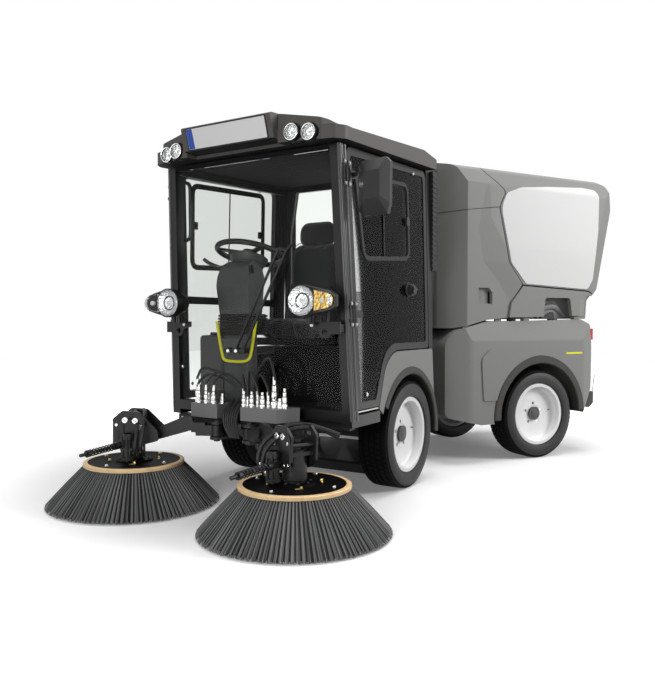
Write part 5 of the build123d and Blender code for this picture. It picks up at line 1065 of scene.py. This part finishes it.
# motor can in front of the plates, with five cast ribs and its two pipes
motor = Matrix.Translation((ARM_REACH - 0.008, -0.108, -0.150))
head_parts.append((moved(lathe(MOTOR_CAN, 28), motor), head_coat))
for k in range(5):
    turn = math.radians(200 + 35 * k)
    rib = [(0.031 * math.cos(turn), 0.031 * math.sin(turn), z) for z in (0.022, 0.106)]
    head_parts.append((moved(tube(rib, 0.0045, 8), motor), head_coat))
for along, y in MOTOR_PIPES:
    pipe = [(ARM_REACH + along, y, z) for z in (-0.155, -0.02)]
    head_parts.append((tube(pipe, 0.006, 8), head_coat))
parts = [(moved(shape, ARM), material) for shape, material in head_parts]
piece("head_bolts_left", parts, "head_left")
piece("head_bolts_right", mirrored(parts), "head_right")


def coil(start, end, radius, wire, turns):
    """Spring wire wound about the line from start to end."""
    start, end = Vector(start), Vector(end)
    way = (end - start).normalized()
    side = way.orthogonal().normalized()
    up = way.cross(side)
    route = []
    for k in range(turns * 14 + 1):
        turn = 2 * math.pi * k / 14
        route.append(start.lerp(end, k / (turns * 14))
                     + (side * math.cos(turn) + up * math.sin(turn)) * radius)
    return tube(route, wire, 6)


ROD_FOOT = ARM @ Vector((ARM_REACH + 0.002, -0.071, -0.064))
ROD_TIP = ARM @ Vector((ARM_REACH + 0.123, -0.384, -0.078))
spring = [(coil(ROD_FOOT.lerp(ROD_TIP, 0.32), ROD_FOOT.lerp(ROD_TIP, 0.82), 0.0155, 0.0035, 8), head_coat),
          (tube([ROD_FOOT.lerp(ROD_TIP, 0.2), ROD_FOOT.lerp(ROD_TIP, 0.32)], 0.019, 16), head_coat),
          (tube([ROD_FOOT.lerp(ROD_TIP, 0.82), ROD_FOOT.lerp(ROD_TIP, 0.88)], 0.017, 16), head_coat)]
piece("spring_left", spring, "head_left")
piece("spring_right", mirrored(spring), "head_right")
# hoses from the motor up over the head and back along the arm, and their plated elbows
HOSE_ROUTES = (((0.428, -1.19, 0.275), (0.412, -1.20, 0.335), (0.43, -1.17, 0.41), (0.505, -1.10, 0.478),
                (0.60, -1.03, 0.486), (0.68, -0.96, 0.45)),
               ((0.393, -1.18, 0.300), (0.380, -1.19, 0.345), (0.395, -1.16, 0.42), (0.465, -1.08, 0.487),
                (0.56, -1.00, 0.488), (0.66, -0.93, 0.43)))
loops = []
for route in HOSE_ROUTES:
    loops.append((tube(smooth_path(route, 8), 0.0105, 12), hose_rubber))
    first = Vector(route[0])
    loops.append((tube([first + Vector((0.012, 0.01, -0.03)), first,
                        first + Vector((-0.006, -0.004, 0.03))], 0.0125, 12), plated))
piece("head_hoses_left", loops, "head_left")
piece("head_hoses_right", mirrored(loops), "head_right")

# ---------------------------------------------------------------------------------------------------
# Disc brushes: a pressed steel drive plate bolted to a beech ring, and tufts of grey-black
# polypropylene bristle drilled into the ring's underside, splayed out to the ground.
# ---------------------------------------------------------------------------------------------------
disc_coat = finish("disc_enamel", (0.0015, 0.0015, 0.002), 0.6, shift=0.2, grain=600, depth=0.01,
                   specular=0.04)


def beech_wood():
    """Turned beech: growth rings drawn out round the ring, with fine pores."""
    group, given, result = new_group(
        "wood_grain",
        [("Light", "Color", (0.98, 0.70, 0.38, 1)), ("Dark", "Color", (0.84, 0.55, 0.28, 1))],
        [("Colour", "Color", None), ("Height", "Float", None)])
    place = add_node(group, "TexCoord", {}).outputs["Object"]
    rings = add_node(group, "TexNoise", {"Vector": place, "Scale": 14, "Detail": 8, "Distortion": 1.5})
    pores = add_node(group, "TexNoise", {"Vector": place, "Scale": 600})
    spread = add_node(group, "MapRange", {"Value": rings.outputs["Fac"], "From Min": 0.45, "From Max": 0.8})
    blend = add_node(group, "Mix", {"Factor": spread.outputs[0], "A": given.outputs["Light"],
                                    "B": given.outputs["Dark"]}, data_type="RGBA")
    group.links.new(blend.outputs["Result"], result.inputs["Colour"])
    group.links.new(pores.outputs["Fac"], result.inputs["Height"])
    material = grouped_material("beech", group, 0.0003)
    material.node_tree.nodes["Principled BSDF"].inputs["Roughness"].default_value = 0.5
    return material


wood = beech_wood()
# one grey-black bristle in three tones, pale, mid and dark: painted light and shade on the strands
bristle_light_and_shade_tones = [finish(f"bristle_{label}", colour, 0.45, shift=0.3, grain=60, depth=0.01)
                  for label, colour in (("pale", (0.19, 0.195, 0.193)), ("mid", (0.085, 0.087, 0.087)),
                                        ("dark", (0.010, 0.0105, 0.011)))]
bristle_gap_shade = finish("bristle_gap_shade", (0.006, 0.006, 0.006), 0.8, shift=0.2, grain=200)
RING_OUTER = 0.265
RING_INNER = 0.239
RING_FOOT = 0.211
TUFTS = 120
STRANDS = 7
# chance of a pale, mid or dark bristle at each place across an outer tuft; pale is painted highlight, dark is
# painted shade in the gaps between tufts
OUTER_MIX = ((0, 1, 4), (3, 2, 0), (5, 1, 0), (5, 2, 0), (3, 4, 0), (1, 4, 2), (0, 1, 4))
# layers of tufts: radius at the ring, radius at the ground
LAYERS = ((0.259, 0.452), (0.250, 0.436), (0.244, 0.418))


def strand(start, end, width):
    """One bristle: a thin three-sided bar with a slight droop."""
    way = end - start
    across = Vector((-way.y, way.x, 0)).normalized() * width / 2
    out = Vector((way.x, way.y, 0)).normalized() * width * 0.5
    verts = []
    for share, droop in ((0, 0), (0.5, 0.004), (1, 0)):
        middle = start + way * share + Vector((0, 0, droop))
        verts += [middle + across, middle - across, middle + out]
    faces = [(6, 7, 8)]
    for low in (0, 3):
        faces += [(low, low + 1, low + 4, low + 3), (low + 1, low + 2, low + 5, low + 4),
                  (low + 2, low, low + 3, low + 5)]
    return verts, faces


random.seed(7)
brush_parts = []
for layer, (top_radius, foot_radius) in enumerate(LAYERS):
    for tuft in range(TUFTS):
        middle = 2 * math.pi * (tuft + layer / 3) / TUFTS
        for k in range(STRANDS):
            spread = (k / (STRANDS - 1) - 0.5)
            top_turn = middle + spread * 0.030
            foot_turn = middle + spread * 0.040 + random.uniform(-0.0025, 0.0025)
            reach = foot_radius + random.uniform(-0.003, 0.003)
            start = Vector((top_radius * math.cos(top_turn), top_radius * math.sin(top_turn),
                            RING_FOOT + 0.004))
            end = Vector((reach * math.cos(foot_turn), reach * math.sin(foot_turn),
                          0.006 + random.uniform(0, 0.006)))
            # outer tufts mix the tones across the tuft; inner layers take almost only dark strands, painted
            # shade deep in the brush
            shade = random.choices(bristle_light_and_shade_tones, OUTER_MIX[k] if layer == 0 else (0, 1, 9))[0]
            brush_parts.append((strand(start, end, 0.0033), shade))
# near-black cone inside the bristles: painted shade that shows through the gaps between tufts
core = lathe([(0, RING_FOOT - 0.002), (0.24, RING_FOOT - 0.002), (0.428, 0.012), (0.30, 0.012),
              (0.15, 0.16), (0, 0.16)], 64)
brush_parts.append((core, bristle_gap_shade))
RING_TOP = RING_FOOT + 0.0205
RING_SECTION = [(RING_INNER, RING_FOOT), (RING_OUTER - 0.003, RING_FOOT), (RING_OUTER, RING_FOOT + 0.003),
                (RING_OUTER, RING_FOOT + 0.017), (RING_OUTER - 0.004, RING_TOP), (RING_INNER, RING_TOP)]
DISC_SECTION = [(0, 0.229), (0.094, 0.229), (0.10, 0.227), (0.236, 0.2265), (0.2385, 0.2295),
                (0.241, 0.2325), (0.236, 0.2315), (0.10, 0.2305), (0.094, 0.2395), (0, 0.2395)]
HUB_SECTION = [(0.021, 0.239), (0.05, 0.239), (0.05, 0.244), (0.046, 0.248), (0.021, 0.248)]
ring_parts = [(lathe(RING_SECTION, 96, closed=True), wood)]
disc_parts = [(lathe(DISC_SECTION, 96), disc_coat), (lathe(HUB_SECTION, 40, closed=True), head_coat)]


def round_brush(turns, radius, height):
    """Places round the brush's axis, from angles in degrees."""
    return [(radius * math.cos(math.radians(turn)), radius * math.sin(math.radians(turn)), height)
            for turn in turns]


disc_parts += bolts(round_brush((4, 94, 184, 274), 0.205, 0.2315), (0, 0, 1), 0.0075, 0.010, zinc)
disc_parts += bolts(round_brush(range(0, 360, 45), 0.074, 0.2395), (0, 0, 1), 0.006, 0.007, head_coat)
# brass clips lie across the radius
CLIP_TURN = 1.57
for x, y, z in round_brush((42, 132, 222, 312), 0.128, 0.2315):
    clip_place = Matrix.Translation((x, y, z)) @ Matrix.Rotation(math.atan2(y, x) + CLIP_TURN, 4, "Z")
    disc_parts.append((moved(slab(rounded(0.034, 0.010, 0.003), 0.003), clip_place), brass))
    disc_parts.append((moved(bolt(0.006, 0.010), clip_place @ Matrix.Translation((0.012, 0, 0.002))),
                       brass))
for side, sign in (("left", 1), ("right", -1)):
    spindle = FRONT @ Matrix.Translation((sign * BRUSH_AXIS.x, BRUSH_AXIS.y, 0))
    for name, parts in ((f"bristles_{side}", brush_parts), (f"brush_ring_{side}", ring_parts),
                        (f"brush_disc_{side}", disc_parts)):
        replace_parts(piece(name, parts, f"disc_{side}", spindle), f"brush_{side}")

# ---------------------------------------------------------------------------------------------------
# Studio: pale floor that keeps the machine's shadow, soft lamps and the camera.
# ---------------------------------------------------------------------------------------------------
FLOOR_HALF = 14.0
floor_mesh = bpy.data.meshes.new("floor")
corners = [(x * FLOOR_HALF, y * FLOOR_HALF, 0) for x, y in ((-1, -1), (1, -1), (1, 1), (-1, 1))]
floor_mesh.from_pydata(corners, [], [(0, 1, 2, 3)])
floor = bpy.data.objects.new("floor", floor_mesh)
bpy.context.scene.collection.objects.link(floor)

paper = bpy.data.materials.new("studio_paper")
paper.use_nodes = True
tree = paper.node_tree
shader = tree.nodes["Principled BSDF"]
shader.inputs["Base Color"].default_value = (0.93, 0.93, 0.93, 1)
shader.inputs["Roughness"].default_value = 0.9
shader.inputs["Specular IOR Level"].default_value = 0.1
shader.inputs["Emission Color"].default_value = (1, 1, 1, 1)
# the paper brightens to plain white far out, where the lamps no longer reach
place = add_node(tree, "TexCoord", {}).outputs["Object"]
reach = add_node(tree, "VectorMath", {0: place}, operation="LENGTH")
far = add_node(tree, "MapRange", {"Value": reach.outputs["Value"], "From Min": 1.6, "From Max": 3.6,
                                  "To Min": 0.13}, interpolation_type="SMOOTHSTEP")
tree.links.new(far.outputs[0], shader.inputs["Emission Strength"])


def background_ray(tree):
    """1 for a ray that shows the background: from the camera, in metal or through glass; 0 for any other."""
    path = add_node(tree, "LightPath", {})
    total = path.outputs["Is Camera Ray"]
    for kind in ("Is Glossy Ray", "Is Transmission Ray"):
        either = add_node(tree, "Math", {0: total, 1: path.outputs[kind]}, operation="ADD", use_clamp=True)
        total = either.outputs[0]
    return total


# the object is lit by a duller paper, so that its undersides stay dark
dull = add_node(tree, "BsdfDiffuse", {"Color": (0.16, 0.16, 0.16, 1)})
chosen = add_node(tree, "MixShader", {0: background_ray(tree), 1: dull.outputs[0], 2: shader.outputs[0]})
tree.links.new(chosen.outputs[0], tree.nodes["Material Output"].inputs["Surface"])
floor_mesh.materials.append(paper)

world = bpy.data.worlds.new("studio")
bpy.context.scene.world = world
world.use_nodes = True
tree = world.node_tree
ambient = tree.nodes["Background"]
ambient.inputs["Color"].default_value = (1, 1, 1, 1)
ambient.inputs["Strength"].default_value = 0.15
backdrop = add_node(tree, "Background", {"Color": (1, 1, 1, 1), "Strength": 1.0})
chosen = add_node(tree, "MixShader", {0: background_ray(tree), 1: ambient.outputs[0], 2: backdrop.outputs[0]})
tree.links.new(chosen.outputs[0], tree.nodes["World Output"].inputs["Surface"])


def soft_lamp(name, place, target, size, power):
    """Round softbox at a place, turned to its target."""
    data = bpy.data.lights.new(name, "AREA")
    data.shape = "DISK"
    data.size = size
    data.energy = power
    lamp = bpy.data.objects.new(name, data)
    lamp.location = place
    lamp.rotation_euler = (Vector(target) - Vector(place)).to_track_quat("-Z", "Y").to_euler()
    bpy.context.scene.collection.objects.link(lamp)


soft_lamp("overhead", (0.6, 0.6, 6.5), (0.2, 0.4, 0.5), 5.0, 300)
soft_lamp("left_side", (6.2, 2.0, 3.4), (0.3, 0.5, 0.8), 3.0, 290)
soft_lamp("low_front", (0.8, -5.2, 1.5), (0, -1.4, 0.5), 1.6, 70)

# camera at the eye height and distance the machine is shown from
CAMERA_PLACE = Vector((2.161, -4.300, 0.977))
CAMERA_AZIMUTH = math.radians(31.48)
CAMERA_TILT = math.radians(-1.25)
CAMERA_ROLL = math.radians(0.12)
FOCAL_PIXELS = 705.0
FRAME_PIXELS = (655, 675)
SENSOR = 36.0
camera_data = bpy.data.cameras.new("camera")
camera_data.sensor_width = SENSOR
camera_data.lens = SENSOR * FOCAL_PIXELS / max(FRAME_PIXELS)
camera = bpy.data.objects.new("camera", camera_data)
camera.matrix_world = (Matrix.Translation(CAMERA_PLACE) @ Matrix.Rotation(CAMERA_AZIMUTH, 4, "Z")
                       @ Matrix.Rotation(math.pi / 2 + CAMERA_TILT, 4, "X")
                       @ Matrix.Rotation(CAMERA_ROLL, 4, "Z"))
bpy.context.scene.collection.objects.link(camera)
bpy.context.scene.camera = camera
bpy.context.scene.view_settings.view_transform = "Standard"
